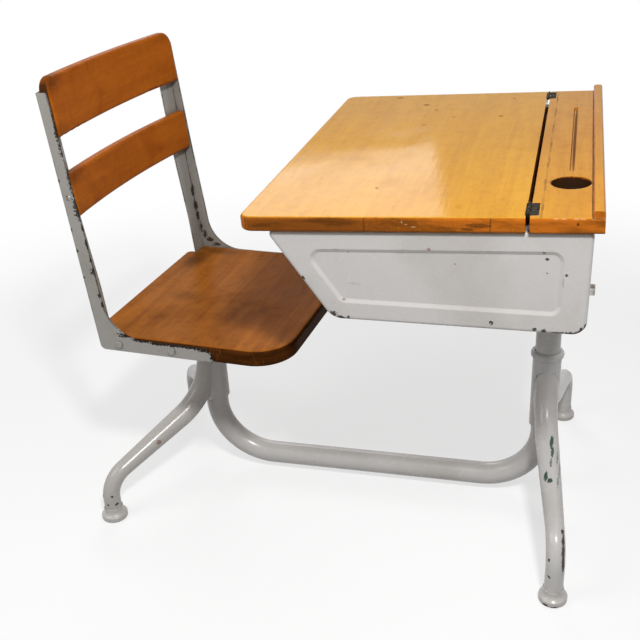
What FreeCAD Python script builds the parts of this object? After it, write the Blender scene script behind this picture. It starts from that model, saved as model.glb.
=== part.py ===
import FreeCAD
import Part
import math
import os

# School desk: a lift-lid desk and a swivel seat on one tubular base. Millimetres, +Z up, the sitter
# faces +X. Pieces are built about the desk post (x = 0, floor z = 0) and centred over their box at the end.

V = FreeCAD.Vector
X_AXIS, Y_AXIS, Z_AXIS = V(1, 0, 0), V(0, 1, 0), V(0, 0, 1)

# Clearances shared by all pieces
FIT_GAP = 0.05          # radial play of a running or pushed fit
CLEAR = 0.3             # air between pieces that pass each other
OVERRUN = 6.0           # how far a cutting tool runs past the piece
SHEET = 1.5             # pressed sheet of the book box
HEAD_ROUND_SHARE = 0.6  # rounding of a screw head, of its height

# Base tube, sockets and posts
TUBE_OD = 38.0
TUBE_WALL = 2.0
TUBE_BEND_R = 98.0
TUBE_AXIS_Z = 30.0
POST_SPACING = 566.0
SOCKET_WALL = 2.95
SOCKET_FOOT_Z = 142.0
SOCKET_LAP = 16.0
DESK_SOCKET_TOP_Z = 279.0
SEAT_SOCKET_DROP = 87.0  # seat top down to the top of its socket
BEAD_PROUD = 3.5
BEAD_HEIGHT = 13.0
BEAD_ROUND_SHARE = 0.45
POST_OD = 39.0
POST_WALL = 2.5
POST_FOOT_RISE = 34.0   # foot of a post above the end of the base tube
LOCK_SCREW_D = 8.0
LOCK_SCREW_DROP = 30.0
LOCK_SLOT_W = 1.4
LOCK_SLOT_DEPTH = 1.0
SEAT_LOCK_TURN = 45.0

# Legs and feet
LEG_TOP_OD = 36.0
LEG_FOOT_OD = 28.0
LEG_WALL = 1.8
LEG_ROOT_OFFSET = 3.0
LEG_ROOT_DROP = 14.0
LEG_BEND_R = 100.0
LEG_BEND_OFFSET = 30.0
KNEE_R = 48.0
DESK_LEG_REACH = 34.0
DESK_LEG_SPREAD = 252.0
DESK_LEG_BEND_DROP = 86.0
DESK_KNEE_Z = 94.0
SEAT_LEG_REACH = -129.0
SEAT_LEG_SPREAD = 188.0
SEAT_LEG_BEND_DROP = 94.0
SEAT_KNEE_Z = 72.0
FOOT_RIM_PROUD = 7.2    # rim of a foot past its leg
FOOT_RIM_HEIGHT = 9.0
FOOT_FLARE_RISE = 4.5
FOOT_FLARE_R = 8.0
FOOT_NECK_WALL = 1.2
FOOT_NECK_HEIGHT = 14.0
FOOT_FLOOR = 8.0
FOOT_EDGE_R = 2.6

# Desk top: lid, seam and rear rail, measured along the slope from the back edge of the lid
TOP_WIDTH = 610.0
TOP_THICK = 19.0
TOP_SLOPE = 2.5
SEAM_X = -32.0
SEAM_Z = 610.0
SEAM_PLAY = 0.4         # air on each side of the hinge barrel
LID_DEPTH = 348.0
LID_CORNER_R = 18.0
LID_EDGE_R = 4.0
RAIL_DEPTH = 83.5
RAIL_EDGE_R = 3.0
LEDGE_WIDTH = 14.0
LEDGE_HEIGHT = 9.0
LEDGE_R = 4.0
INKWELL_D = 50.0
INKWELL_FROM_SEAM = 48.3
INKWELL_FROM_END = 126.0
GROOVE_WIDTH = 6.0
GROOVE_DEPTH = 2.4
GROOVE_FROM_SEAM = 48.0
GROOVE_START_FROM_END = 176.0
GROOVE_STOP_FROM_END = 117.0

# Lid hinges
HINGE_LENGTH = 42.0
HINGE_FROM_END = 10.0
LEAF_WIDTH = 9.5
LEAF_THICK = 1.2
KNUCKLE_WALL = 1.0
HINGE_PIN_D = 2.2
KNUCKLE_GAP = 0.3
HINGE_SCREW_HEAD_D = 6.0
HINGE_SCREW_HEAD_H = 0.9
HINGE_SCREW_D = 3.0
HINGE_SCREW_LENGTH = 11.0
HINGE_SCREW_PITCH = 24.0

# Book box
BOX_OVERHANG = 7.0      # lid past each side panel
LID_OVERHANG = 31.7     # lid past the front of the box rim
RAIL_OVERHANG = 9.9     # rear rail past the back of the box
BOX_BOTTOM_Z = 461.0
BOX_FRONT_FOOT_X = -267.0
BOX_FLANGE = 22.0
BOX_RIM_R = 5.0
BOX_FRONT_CORNER_R = 26.0
BOX_BACK_CORNER_R = 18.0
BOX_TOP_CORNER_R = 6.5
FIELD_MARGIN = 24.0
FIELD_BACK_MARGIN = 31.0
FIELD_BEVEL = 5.0
FIELD_DEPTH = 2.6
FIELD_CORNER_R = 14.0
SHEET_DROP = 6.0        # edge of the sheets below the box rim
REAR_BOLT_RISE = 56.0
REAR_BOLT_D = 8.0
REAR_HEAD_AF = 13.0
REAR_HEAD_H = 6.0
REAR_NUT_H = 6.5
REAR_THREAD_PAST = 3.0
RAIL_SCREW_HEAD_D = 9.0
RAIL_SCREW_HEAD_H = 3.0
RAIL_SCREW_D = 4.5
RAIL_SCREW_LENGTH = 16.0
RAIL_SCREW_PITCH = 34.0

# Bracket between desk post and book box
BRACKET_PLATE = 5.0
BRACKET_FRONT = 110.0
BRACKET_WIDTH = 130.0
BRACKET_CORNER_R = 12.0
BRACKET_COLLAR_WALL = 7.45
BRACKET_COLLAR_H = 30.0
BRACKET_BOLT_INSET = 14.0
BRACKET_BOLT_D = 8.0
BRACKET_HEAD_D = 17.0
BRACKET_HEAD_H = 3.5
BRACKET_NUT_AF = 13.0
BRACKET_NUT_H = 6.5
BRACKET_THREAD_PAST = 3.0

# Seat: heights from the floor, plan sizes from the seat post axis, in the seat's own straight position
SEAT_TURN = -4.5        # where the swivel stands at rest
SWIVEL_SWING = 45.0     # travel to each side of straight
SEAT_TOP_Z = 343.0
SEAT_THICK = 26.0
SEAT_FRONT = 211.0
TONGUE_LENGTH = 14.0    # seat board past the heel of the side frames
SEAT_WIDTH = 366.0
SEAT_CORNER_R = 60.0
SEAT_EDGE_R = 6.0
SEAT_DISH_DEPTH = 3.2
SEAT_DISH_WIDTH = 300.0
TONGUE_CORNER_R = 8.0

# Side frames: seat flange, gusset and upright pressed in one
FRAME_THICK = 2.0
FLANGE_DROP = 24.0      # seat top down to the flange's lower edge
FLANGE_HEIGHT = 22.0
FLANGE_FRONT = 100.0
FLANGE_FRONT_R = 19.0
FLANGE_HEEL = -89.0
FLANGE_HEEL_R = 9.0
GUSSET_R = 60.0
UPRIGHT_LEAN = 4.5
UPRIGHT_RISE = 366.0    # seat top up to the upright's end
UPRIGHT_FOOT_DEPTH = 23.0
UPRIGHT_TOP_DEPTH = 15.0
UPRIGHT_BACK_WIDTH = 34.0
UPRIGHT_TWIST_START = 66.0
UPRIGHT_TWIST_END = 180.0
FRAME_BOLT_SHARES = (0.17, 0.64)
FRAME_BOLT_HEAD_D = 12.5
FRAME_BOLT_HEAD_H = 3.0
FRAME_BOLT_D = 6.0
FRAME_BOLT_LENGTH = 40.0

# Back slats
SLAT_THICK = 16.0
SLAT_SAG = 13.0
SLAT_EDGE_R = 5.0
LOWER_SLAT_RISE = 187.0
LOWER_SLAT_HEIGHT = 64.0
SLAT_SPACE = 51.0
UPPER_SLAT_HEIGHT = 82.0
UPPER_SLAT_CORNER_R = 22.0
LOWER_SLAT_CORNER_R = 5.0
SLAT_SCREW_HEAD_D = 8.0
SLAT_SCREW_HEAD_H = 2.5
SLAT_SCREW_D = 4.0
SLAT_SCREW_LENGTH = 13.0
SLAT_SCREW_SHARES = (0.3, 0.7)
SLAT_RIVET_HEAD_D = 7.5
SLAT_RIVET_HEAD_H = 1.8
SLAT_RIVET_D = 4.0
SLAT_RIVET_LENGTH = 26.0

# Seat hub, spider and swivel
SPIDER_THICK = 5.0
SPIDER_ARM_WIDTH = 40.0
SPIDER_FRONT = 150.0
SPIDER_BACK = 84.0
SPIDER_SPAN = 300.0
SPIDER_SCREW_INSET = 18.0
SPIDER_SCREW_HEAD_D = 10.0
SPIDER_SCREW_HEAD_H = 3.0
SPIDER_SCREW_D = 5.0
SPIDER_SCREW_LENGTH = 15.0
HUB_GAP = 10.0          # lowest position of the seat hub above the seat socket
HUB_CEILING = 12.0
WASHER_THICK = 3.0
WASHER_BORE = 20.0
STOP_SCREW_D = 5.0
STOP_SCREW_HEAD_D = 9.0
STOP_SCREW_HEAD_H = 3.0
STOP_SCREW_RISE = 15.0
STOP_PLAY = 0.8

# Places worked out from the sizes above
SOCKET_OD = max(TUBE_OD, POST_OD) + 2 * (FIT_GAP + SOCKET_WALL)
BEAD_OD = SOCKET_OD + 2 * BEAD_PROUD
FOOT_OD = LEG_FOOT_OD + 2 * FOOT_RIM_PROUD
BRACKET_COLLAR_OD = POST_OD + 2 * (FIT_GAP + BRACKET_COLLAR_WALL)
KNUCKLE_OD = HINGE_PIN_D + 2 * KNUCKLE_WALL
SEAM_GAP = KNUCKLE_OD + 2 * SEAM_PLAY
SLOPE_RUN = math.cos(math.radians(TOP_SLOPE))      # level run for each unit along the top
BOX_BACK_X = SEAM_X + (SEAM_GAP + RAIL_DEPTH) * SLOPE_RUN - RAIL_OVERHANG
BOX_FRONT_TOP_X = SEAM_X - LID_DEPTH * SLOPE_RUN + LID_OVERHANG
REAR_BOLT_Z = BOX_BOTTOM_Z + REAR_BOLT_RISE
SEAT_SOCKET_TOP_Z = SEAT_TOP_Z - SEAT_SOCKET_DROP
SEAT_BACK = FLANGE_HEEL - TONGUE_LENGTH
SOCKET_BORE_R = POST_OD / 2 + FIT_GAP
TUBE_TOP_Z = SOCKET_FOOT_Z + SOCKET_LAP
POST_FOOT_Z = TUBE_TOP_Z + POST_FOOT_RISE
FRAME_OUT = SEAT_WIDTH / 2 + FRAME_THICK
BOX_HALF = TOP_WIDTH / 2 - BOX_OVERHANG
SEAT_UNDER_Z = SEAT_TOP_Z - SEAT_THICK
SPIDER_UNDER_Z = SEAT_UNDER_Z - SPIDER_THICK
HUB_FOOT_Z = SEAT_SOCKET_TOP_Z + HUB_GAP
HUB_CEILING_Z = SPIDER_UNDER_Z - HUB_CEILING
FLANGE_FOOT_Z = SEAT_TOP_Z - FLANGE_DROP
UPRIGHT_TOP_Z = SEAT_TOP_Z + UPRIGHT_RISE
LEAN_RATE = math.tan(math.radians(UPRIGHT_LEAN))
LEAN_WAY = V(-LEAN_RATE, 0, 1).normalize()
RIM_N = -TOP_THICK - CLEAR          # box rim below the top face, square to it
HINGE_A = SEAM_GAP / 2
BRACKET_BACK = BOX_BACK_X - BOX_BACK_CORNER_R     # the plate stays on the flat of the bottom


# Plane maps: two flat coordinates to a point in space
def on_xz(y):
    return lambda u, v: V(u, y, v)


def on_xy(z):
    return lambda u, v: V(u, v, z)


def rounded_wire(points, radii, plane):
    """Closed wire through flat corner points, each corner rounded by its own radius."""
    flat = [V(u, v, 0) for u, v in points]
    count = len(flat)
    ends = []
    for i, corner in enumerate(flat):
        back = (flat[i - 1] - corner).normalize()
        ahead = (flat[(i + 1) % count] - corner).normalize()
        half = back.getAngle(ahead) / 2
        reach = radii[i] / math.tan(half)
        middle = corner + (back + ahead).normalize() * (radii[i] / math.sin(half) - radii[i])
        ends.append((corner + back * reach, middle, corner + ahead * reach))
    edges = []
    for i, (start, middle, stop) in enumerate(ends):
        begin, through, finish = (plane(p.x, p.y) for p in (start, middle, stop))
        if radii[i] > 0:
            edges.append(Part.Arc(begin, through, finish).toShape())
        follow = ends[(i + 1) % count][0]
        edges.append(Part.LineSegment(finish, plane(follow.x, follow.y)).toShape())
    return Part.Wire(edges)


def prism(points, radii, plane, direction):
    """Solid of a rounded outline pushed along a direction."""
    return Part.Face(rounded_wire(points, radii, plane)).extrude(direction)


def inset(points, distance):
    """Convex outline, listed anticlockwise, moved inward by a distance; one distance or one per edge."""
    count = len(points)
    steps = distance if isinstance(distance, (list, tuple)) else [distance] * count
    lines = []
    for i in range(count):
        (u0, v0), (u1, v1) = points[i], points[(i + 1) % count]
        length = math.hypot(u1 - u0, v1 - v0)
        du, dv = (u1 - u0) / length, (v1 - v0) / length
        lines.append((u0 - dv * steps[i], v0 + du * steps[i], du, dv))
    moved = []
    for i in range(count):
        u0, v0, du0, dv0 = lines[i - 1]
        u1, v1, du1, dv1 = lines[i]
        cross = du0 * dv1 - dv0 * du1
        along = ((u1 - u0) * dv1 - (v1 - v0) * du1) / cross
        moved.append((u0 + du0 * along, v0 + dv0 * along))
    return moved


def turned(points, radii=None):
    """Solid of revolution about Z of an outline given as radius and height."""
    wire = rounded_wire(points, radii or [0] * len(points), on_xz(0))
    return Part.Face(wire).revolve(V(), Z_AXIS, 360)


def cylinder(radius, start, stop):
    """Round bar between two points."""
    span = stop - start
    return Part.makeCylinder(radius, span.Length, start, span)


def box_between(low, high):
    """Block between two opposite corners."""
    size = high - low
    return Part.makeBox(size.x, size.y, size.z, low)


def hexagon_bar(across_flats, height, foot):
    """Hexagonal bar standing on a point along Z."""
    reach = across_flats / math.sqrt(3)
    turns = [math.radians(step) for step in range(0, 360, 60)]
    corners = [(reach * math.cos(turn), reach * math.sin(turn)) for turn in turns]
    bar = prism(corners, [0] * len(corners), on_xy(0), Z_AXIS * height)
    bar.translate(foot)
    return bar


def aimed(shape, direction, place):
    """Shape made along +Z, turned to point in a direction and moved to a place."""
    result = shape.copy()
    spin = FreeCAD.Rotation(Z_AXIS, direction)
    result.Placement = FreeCAD.Placement(place, spin)
    return result


def drilled(shape, diameter, places, reach):
    """Shape with a hole for a fastener at each place, cut by the same reach to both sides of it."""
    for place in places:
        shape = shape.cut(cylinder(diameter / 2 + FIT_GAP, place - reach, place + reach))
    return shape


def mirrored(shape):
    """Left piece made from the right one, or the other way round."""
    return shape.mirror(V(), Y_AXIS)


def bent_rod(corners, bends, radii):
    """Round rod through corner points with tangent bends; one radius per run end."""
    solids = []
    start = corners[0]
    for i in range(1, len(corners)):
        ahead = (corners[i] - corners[i - 1]).normalize()
        stop = corners[i]
        if i < len(corners) - 1:
            after = (corners[i + 1] - corners[i]).normalize()
            turn = ahead.getAngle(after)
            reach = bends[i - 1] * math.tan(turn / 2)
            stop = corners[i] - ahead * reach
        first, last = radii[i - 1]
        span = stop - start
        if first == last:
            solids.append(Part.makeCylinder(first, span.Length, start, ahead))
        else:
            solids.append(Part.makeCone(first, last, span.Length, start, ahead))
        if i < len(corners) - 1:
            hinge = ahead.cross(after).normalize()
            centre = stop + hinge.cross(ahead) * bends[i - 1]
            disc = Part.Face(Part.Wire(Part.makeCircle(last, stop, ahead)))
            solids.append(disc.revolve(centre, hinge, math.degrees(turn)))
            start = corners[i] + after * reach
    return solids[0].multiFuse(solids[1:]).removeSplitter()


def screw(head_d, head_h, shank_d, length):
    """Round headed screw pointing down from its seat at the origin, head above."""
    head_r, shank_r = head_d / 2, shank_d / 2
    outline = [(0, -length), (shank_r, -length), (shank_r, 0), (head_r, 0), (head_r, head_h), (0, head_h)]
    return turned(outline, [0, 0, 0, 0, head_h * HEAD_ROUND_SHARE, 0])


def on_top(shape):
    """Move a piece built flat, with x along the slope and z off the top face, onto the desk top."""
    result = shape.copy()
    result.Placement = top_placement()
    return result


def top_placement():
    return FreeCAD.Placement(V(SEAM_X, 0, SEAM_Z), FreeCAD.Rotation(Y_AXIS, -TOP_SLOPE))


def rim_height(x):
    """Height of the book box rim above the floor at a given x."""
    return SEAM_Z + (x - SEAM_X) * math.tan(math.radians(TOP_SLOPE)) + RIM_N / SLOPE_RUN


# Base
def make_base_tube():
    outer_r = TUBE_OD / 2

    def run(radius, past):
        low = TUBE_AXIS_Z
        corners = [V(-POST_SPACING, 0, TUBE_TOP_Z + past), V(-POST_SPACING, 0, low),
                   V(0, 0, low), V(0, 0, TUBE_TOP_Z + past)]
        return bent_rod(corners, [TUBE_BEND_R] * 2, [(radius, radius)] * 3)

    return run(outer_r, 0).cut(run(outer_r - TUBE_WALL, OVERRUN))


def make_socket(top_z, bead, lock_turn):
    """Sleeve with a stepped bore: the base tube below, the post above."""
    out_r, low_r = SOCKET_OD / 2, TUBE_OD / 2 + FIT_GAP
    outline = [(low_r, SOCKET_FOOT_Z), (out_r, SOCKET_FOOT_Z), (out_r, top_z), (SOCKET_BORE_R, top_z),
               (SOCKET_BORE_R, TUBE_TOP_Z), (low_r, TUBE_TOP_Z)]
    ease = (out_r - SOCKET_BORE_R) / 2
    sleeve = turned(outline, [0, ease, ease, 0, 0, 0])
    if bead:
        bead_r = BEAD_OD / 2
        foot = top_z - BEAD_HEIGHT
        ring = [(SOCKET_BORE_R, foot), (bead_r, foot), (bead_r, top_z), (SOCKET_BORE_R, top_z)]
        round_r = BEAD_HEIGHT * BEAD_ROUND_SHARE
        sleeve = sleeve.fuse(turned(ring, [0, round_r, round_r, 0])).removeSplitter()
    hole = cylinder(LOCK_SCREW_D / 2 + FIT_GAP, V(0, 0, 0), V(SOCKET_OD, 0, 0))
    hole.translate(V(0, 0, top_z - LOCK_SCREW_DROP))
    hole.rotate(V(), Z_AXIS, lock_turn)
    return sleeve.cut(hole)


def make_lock_screw(top_z, lock_turn):
    """Slotted set screw, flush in the socket wall, its tip just clear of the post."""
    inner, outer = POST_OD / 2 + CLEAR, SOCKET_OD / 2 - FIT_GAP
    body = cylinder(LOCK_SCREW_D / 2, V(inner, 0, 0), V(outer, 0, 0))
    slot = box_between(V(outer - LOCK_SLOT_DEPTH, -LOCK_SCREW_D, -LOCK_SLOT_W / 2),
                       V(outer + LOCK_SLOT_DEPTH, LOCK_SCREW_D, LOCK_SLOT_W / 2))
    body = body.cut(slot)
    body.translate(V(0, 0, top_z - LOCK_SCREW_DROP))
    body.rotate(V(), Z_AXIS, lock_turn)
    return body


def make_leg(reach, spread, root_z, bend_drop, knee_z):
    """Tapered S-shaped tube from its socket out and down to its foot, on the +Y side."""
    out = V(reach, spread, 0)
    foot = out.Length
    heading = out.normalize()

    def point(radial, height):
        return heading * radial + Z_AXIS * height

    def rod(thinner, past):
        top_r, foot_r = LEG_TOP_OD / 2 - thinner, LEG_FOOT_OD / 2 - thinner
        corners = [point(LEG_ROOT_OFFSET, root_z), point(LEG_BEND_OFFSET, root_z - bend_drop),
                   point(foot, knee_z), point(foot, FOOT_FLOOR - past)]
        return bent_rod(corners, [LEG_BEND_R, KNEE_R], [(top_r, top_r), (top_r, foot_r), (foot_r, foot_r)])

    core = cylinder(SOCKET_OD / 2, V(0, 0, 0), V(0, 0, root_z + LEG_TOP_OD))
    return rod(0, 0).cut(rod(LEG_WALL, OVERRUN)).cut(core)


def make_foot(reach, spread):
    """Cup foot round the end of a leg: a thick round rim that flares up into a thin neck."""
    rim_r, bore_r = FOOT_OD / 2, LEG_FOOT_OD / 2 + FIT_GAP
    neck_r = bore_r + FOOT_NECK_WALL
    top_z = FOOT_RIM_HEIGHT + FOOT_NECK_HEIGHT
    outline = [(0, 0), (rim_r, 0), (rim_r, FOOT_RIM_HEIGHT), (neck_r, FOOT_RIM_HEIGHT + FOOT_FLARE_RISE),
               (neck_r, top_z), (bore_r, top_z), (bore_r, FOOT_FLOOR), (0, FOOT_FLOOR)]
    cup = turned(outline, [0, FOOT_EDGE_R, FOOT_EDGE_R, FOOT_FLARE_R, FOOT_NECK_WALL / 2, 0, 0, 0])
    cup.translate(V(reach, spread, 0))
    return cup


# Desk top
def make_lid_board():
    half = TOP_WIDTH / 2
    outline = [(-LID_DEPTH, -half), (0, -half), (0, half), (-LID_DEPTH, half)]
    board = prism(outline, [LID_CORNER_R, 0, 0, LID_CORNER_R], on_xy(-TOP_THICK), Z_AXIS * TOP_THICK)
    edges = [e for e in board.Edges if e.BoundBox.ZLength < CLEAR and e.BoundBox.XMin < -CLEAR]
    board = board.makeFillet(LID_EDGE_R, edges)
    for side in (-1, 1):
        middle = side * hinge_middle()
        board = board.cut(box_between(V(-LEAF_THICK, middle - HINGE_LENGTH / 2 - FIT_GAP, -LEAF_WIDTH),
                                      V(OVERRUN, middle + HINGE_LENGTH / 2 + FIT_GAP, OVERRUN)))
    for hole in lid_screws(HINGE_SCREW_D / 2 + FIT_GAP):
        board = board.cut(hole)
    return on_top(board)


def make_top_rail():
    half = TOP_WIDTH / 2
    rail = box_between(V(SEAM_GAP, -half, -TOP_THICK), V(SEAM_GAP + RAIL_DEPTH, half, 0))
    ends = [e for e in rail.Edges if e.BoundBox.YLength < CLEAR and e.BoundBox.ZLength < CLEAR]
    rail = rail.makeFillet(RAIL_EDGE_R, ends)
    well_y = INKWELL_FROM_END - half
    rail = rail.cut(cylinder(INKWELL_D / 2, V(INKWELL_FROM_SEAM, well_y, -TOP_THICK - OVERRUN),
                             V(INKWELL_FROM_SEAM, well_y, OVERRUN)))
    groove_r = (GROOVE_WIDTH ** 2 / 4 + GROOVE_DEPTH ** 2) / (2 * GROOVE_DEPTH)
    lift = groove_r - GROOVE_DEPTH
    ends_y = (GROOVE_START_FROM_END - half, half - GROOVE_STOP_FROM_END)
    rail = rail.cut(cylinder(groove_r, *(V(GROOVE_FROM_SEAM, y, lift) for y in ends_y)))
    for y in ends_y:
        rail = rail.cut(Part.makeSphere(groove_r, V(GROOVE_FROM_SEAM, y, lift)))
    for side in (-1, 1):
        middle = side * hinge_middle()
        rail = rail.cut(box_between(V(0, middle - HINGE_LENGTH / 2 - FIT_GAP, -LEAF_THICK),
                                    V(SEAM_GAP + LEAF_WIDTH, middle + HINGE_LENGTH / 2 + FIT_GAP, OVERRUN)))
    for hole in hinge_screws(HINGE_SCREW_D / 2 + FIT_GAP):
        rail = rail.cut(hole)
    for place in rail_screw_places():
        rail = rail.cut(cylinder(RAIL_SCREW_D / 2 + FIT_GAP, place, place + Z_AXIS * RAIL_SCREW_LENGTH))
    return on_top(rail)


def make_rear_ledge():
    """Raised strip along the back edge of the rail that keeps pencils from rolling off."""
    half = TOP_WIDTH / 2
    back = SEAM_GAP + RAIL_DEPTH
    outline = [(back - LEDGE_WIDTH, 0), (back, 0), (back, LEDGE_HEIGHT), (back - LEDGE_WIDTH, LEDGE_HEIGHT)]
    return on_top(prism(outline, [0, 0, LEDGE_R, LEDGE_R], on_xz(-half), Y_AXIS * TOP_WIDTH))


def rail_screw_places():
    """Seats of the rail screws on the rail's underside, in the flat frame of the top."""
    inner = BOX_HALF - BOX_FLANGE + RAIL_SCREW_HEAD_D
    middle = SEAM_GAP + (RAIL_DEPTH - LEDGE_WIDTH) / 2
    return [V(middle + step * RAIL_SCREW_PITCH / 2, side * inner, RIM_N - SHEET)
            for side in (-1, 1) for step in (-1, 1)]


def make_rail_screws():
    bolt = screw(RAIL_SCREW_HEAD_D, RAIL_SCREW_HEAD_H, RAIL_SCREW_D, RAIL_SCREW_LENGTH)
    return [on_top_solid(aimed(bolt, -Z_AXIS, place)) for place in rail_screw_places()]


def on_top_solid(shape):
    """Same as on_top, for a piece that already has a place of its own."""
    result = shape.copy()
    result.Placement = top_placement() * shape.Placement
    return result


# Lid hinges
def hinge_middle():
    return TOP_WIDTH / 2 - HINGE_FROM_END - HINGE_LENGTH / 2


def knuckle(start_y, stop_y):
    """One knuckle of the barrel, bored for the pin."""
    radius, bore = KNUCKLE_OD / 2, HINGE_PIN_D / 2 + FIT_GAP
    barrel = cylinder(radius, V(HINGE_A, start_y, 0), V(HINGE_A, stop_y, 0))
    return barrel, cylinder(bore, V(HINGE_A, start_y - OVERRUN, 0), V(HINGE_A, stop_y + OVERRUN, 0))


def knuckle_spans(middle):
    """Ends of the three knuckles: fixed, moving, fixed."""
    third = HINGE_LENGTH / 3
    start = middle - HINGE_LENGTH / 2
    return [(start, start + third - KNUCKLE_GAP), (start + third, start + 2 * third),
            (start + 2 * third + KNUCKLE_GAP, start + HINGE_LENGTH)]


def make_hinge_leaf(side):
    """Fixed leaf, let flush into the rail, with the two outer knuckles."""
    middle = side * hinge_middle()
    low_y, high_y = middle - HINGE_LENGTH / 2, middle + HINGE_LENGTH / 2
    leaf = box_between(V(SEAM_GAP, low_y, -LEAF_THICK), V(SEAM_GAP + LEAF_WIDTH - FIT_GAP, high_y, 0))
    spans = knuckle_spans(middle)
    for start, stop in (spans[0], spans[2]):
        barrel, bore = knuckle(start, stop)
        web = box_between(V(HINGE_A, start, -LEAF_THICK), V(SEAM_GAP, stop, 0))
        leaf = leaf.fuse(barrel).fuse(web).cut(bore)
    for hole in hinge_screws(HINGE_SCREW_HEAD_D / 2 + FIT_GAP):
        leaf = leaf.cut(hole)
    return on_top(leaf.removeSplitter())


def make_lid_leaf(side):
    """Moving leaf on the back edge of the lid, with the middle knuckle."""
    middle = side * hinge_middle()
    low_y, high_y = middle - HINGE_LENGTH / 2, middle + HINGE_LENGTH / 2
    leaf = box_between(V(-LEAF_THICK, low_y, -LEAF_WIDTH + FIT_GAP), V(0, high_y, 0))
    start, stop = knuckle_spans(middle)[1]
    barrel, bore = knuckle(start, stop)
    low = -KNUCKLE_OD / 2
    web = box_between(V(-LEAF_THICK, start, low), V(HINGE_A, stop, low + LEAF_THICK))
    leaf = leaf.fuse(barrel).fuse(web).cut(bore)
    for hole in lid_screws(HINGE_SCREW_HEAD_D / 2 + FIT_GAP):
        leaf = leaf.cut(hole)
    return on_top(leaf.removeSplitter())


def make_hinge_pin(side):
    middle = side * hinge_middle()
    half = HINGE_LENGTH / 2
    return on_top(cylinder(HINGE_PIN_D / 2, V(HINGE_A, middle - half, 0), V(HINGE_A, middle + half, 0)))


def screw_seats(side):
    middle = side * hinge_middle()
    return (middle - HINGE_SCREW_PITCH / 2, middle + HINGE_SCREW_PITCH / 2)


def hinge_screws(radius=None):
    """Screws down through the fixed leaves, or the holes for them where a radius is given."""
    across = SEAM_GAP + LEAF_WIDTH / 2
    return flush_screws([V(across, y, 0) for side in (-1, 1) for y in screw_seats(side)], Z_AXIS, radius)


def lid_screws(radius=None):
    """Screws forward through the moving leaves, or the holes for them where a radius is given."""
    drop = -(LEAF_WIDTH + KNUCKLE_OD / 2) / 2
    return flush_screws([V(0, y, drop) for side in (-1, 1) for y in screw_seats(side)], X_AXIS, radius)


def flush_screws(seats, out, radius):
    """Screws whose heads lie flush in a leaf, or plain holes of a radius along them."""
    shapes = []
    for seat in seats:
        if radius is None:
            body = screw(HINGE_SCREW_HEAD_D, HINGE_SCREW_HEAD_H, HINGE_SCREW_D, HINGE_SCREW_LENGTH)
            shapes.append(aimed(body, out, seat - out * LEAF_THICK))
        else:
            tip = seat - out * (LEAF_THICK + HINGE_SCREW_LENGTH)
            shapes.append(cylinder(radius, tip, seat + out * OVERRUN))
    return shapes


# Book box
def box_outline():
    """Side view of the book box: front foot, back foot, back top, front top, anticlockwise."""
    return [(BOX_FRONT_FOOT_X, BOX_BOTTOM_Z), (BOX_BACK_X, BOX_BOTTOM_Z),
            (BOX_BACK_X, rim_height(BOX_BACK_X)), (BOX_FRONT_TOP_X, rim_height(BOX_FRONT_TOP_X))]


def box_radii(less):
    radii = (BOX_FRONT_CORNER_R, BOX_BACK_CORNER_R, BOX_TOP_CORNER_R, BOX_TOP_CORNER_R)
    return [radius - less for radius in radii]


def make_side_panel():
    """Left side: a shallow pressed pan with turned-in flanges, a round rim and a sunk field."""
    outline = box_outline()
    shell = prism(outline, box_radii(0), on_xz(BOX_HALF), Y_AXIS * -BOX_FLANGE)
    rim = [e for e in shell.Edges if e.BoundBox.YMin > BOX_HALF - CLEAR]
    shell = shell.makeFillet(BOX_RIM_R, rim)
    hollow_y = BOX_HALF - SHEET
    reach = Y_AXIS * -(BOX_FLANGE + OVERRUN)
    hollow = prism(inset(outline, SHEET), box_radii(SHEET), on_xz(hollow_y), reach)
    rim = [e for e in hollow.Edges if e.BoundBox.YMin > hollow_y - CLEAR]
    hollow = hollow.makeFillet(BOX_RIM_R - SHEET, rim)
    field = inset(outline, [FIELD_MARGIN, FIELD_BACK_MARGIN, FIELD_MARGIN, FIELD_MARGIN])
    mouth = rounded_wire(field, [FIELD_CORNER_R] * 4, on_xz(BOX_HALF))
    floor_y = BOX_HALF - FIELD_DEPTH
    floor = rounded_wire(inset(field, FIELD_BEVEL), [FIELD_CORNER_R - FIELD_BEVEL] * 4, on_xz(floor_y))
    dent = Part.makeLoft([mouth, floor], True, True)
    backing = prism(field, [FIELD_CORNER_R] * 4, on_xz(BOX_HALF), Y_AXIS * -(FIELD_DEPTH + SHEET))
    panel = shell.cut(hollow.cut(backing)).cut(dent)
    return panel.cut(rear_bolt_hole(1)).cut(Part.makeCompound(rail_screw_holes()))


def rail_screw_holes():
    radius = RAIL_SCREW_D / 2 + FIT_GAP
    return [on_top(cylinder(radius, place - Z_AXIS * OVERRUN, place + Z_AXIS * OVERRUN))
            for place in rail_screw_places()]


def inward_ways(points):
    """Directions that halve the corners of a flat outline, pointing inward."""
    flat = [V(u, v, 0) for u, v in points]
    ways = []
    for i, corner in enumerate(flat):
        back, ahead = flat[i - 1] - corner, flat[(i + 1) % len(flat)] - corner
        ways.append((back.normalize() + ahead.normalize()).normalize())
    return ways


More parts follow.
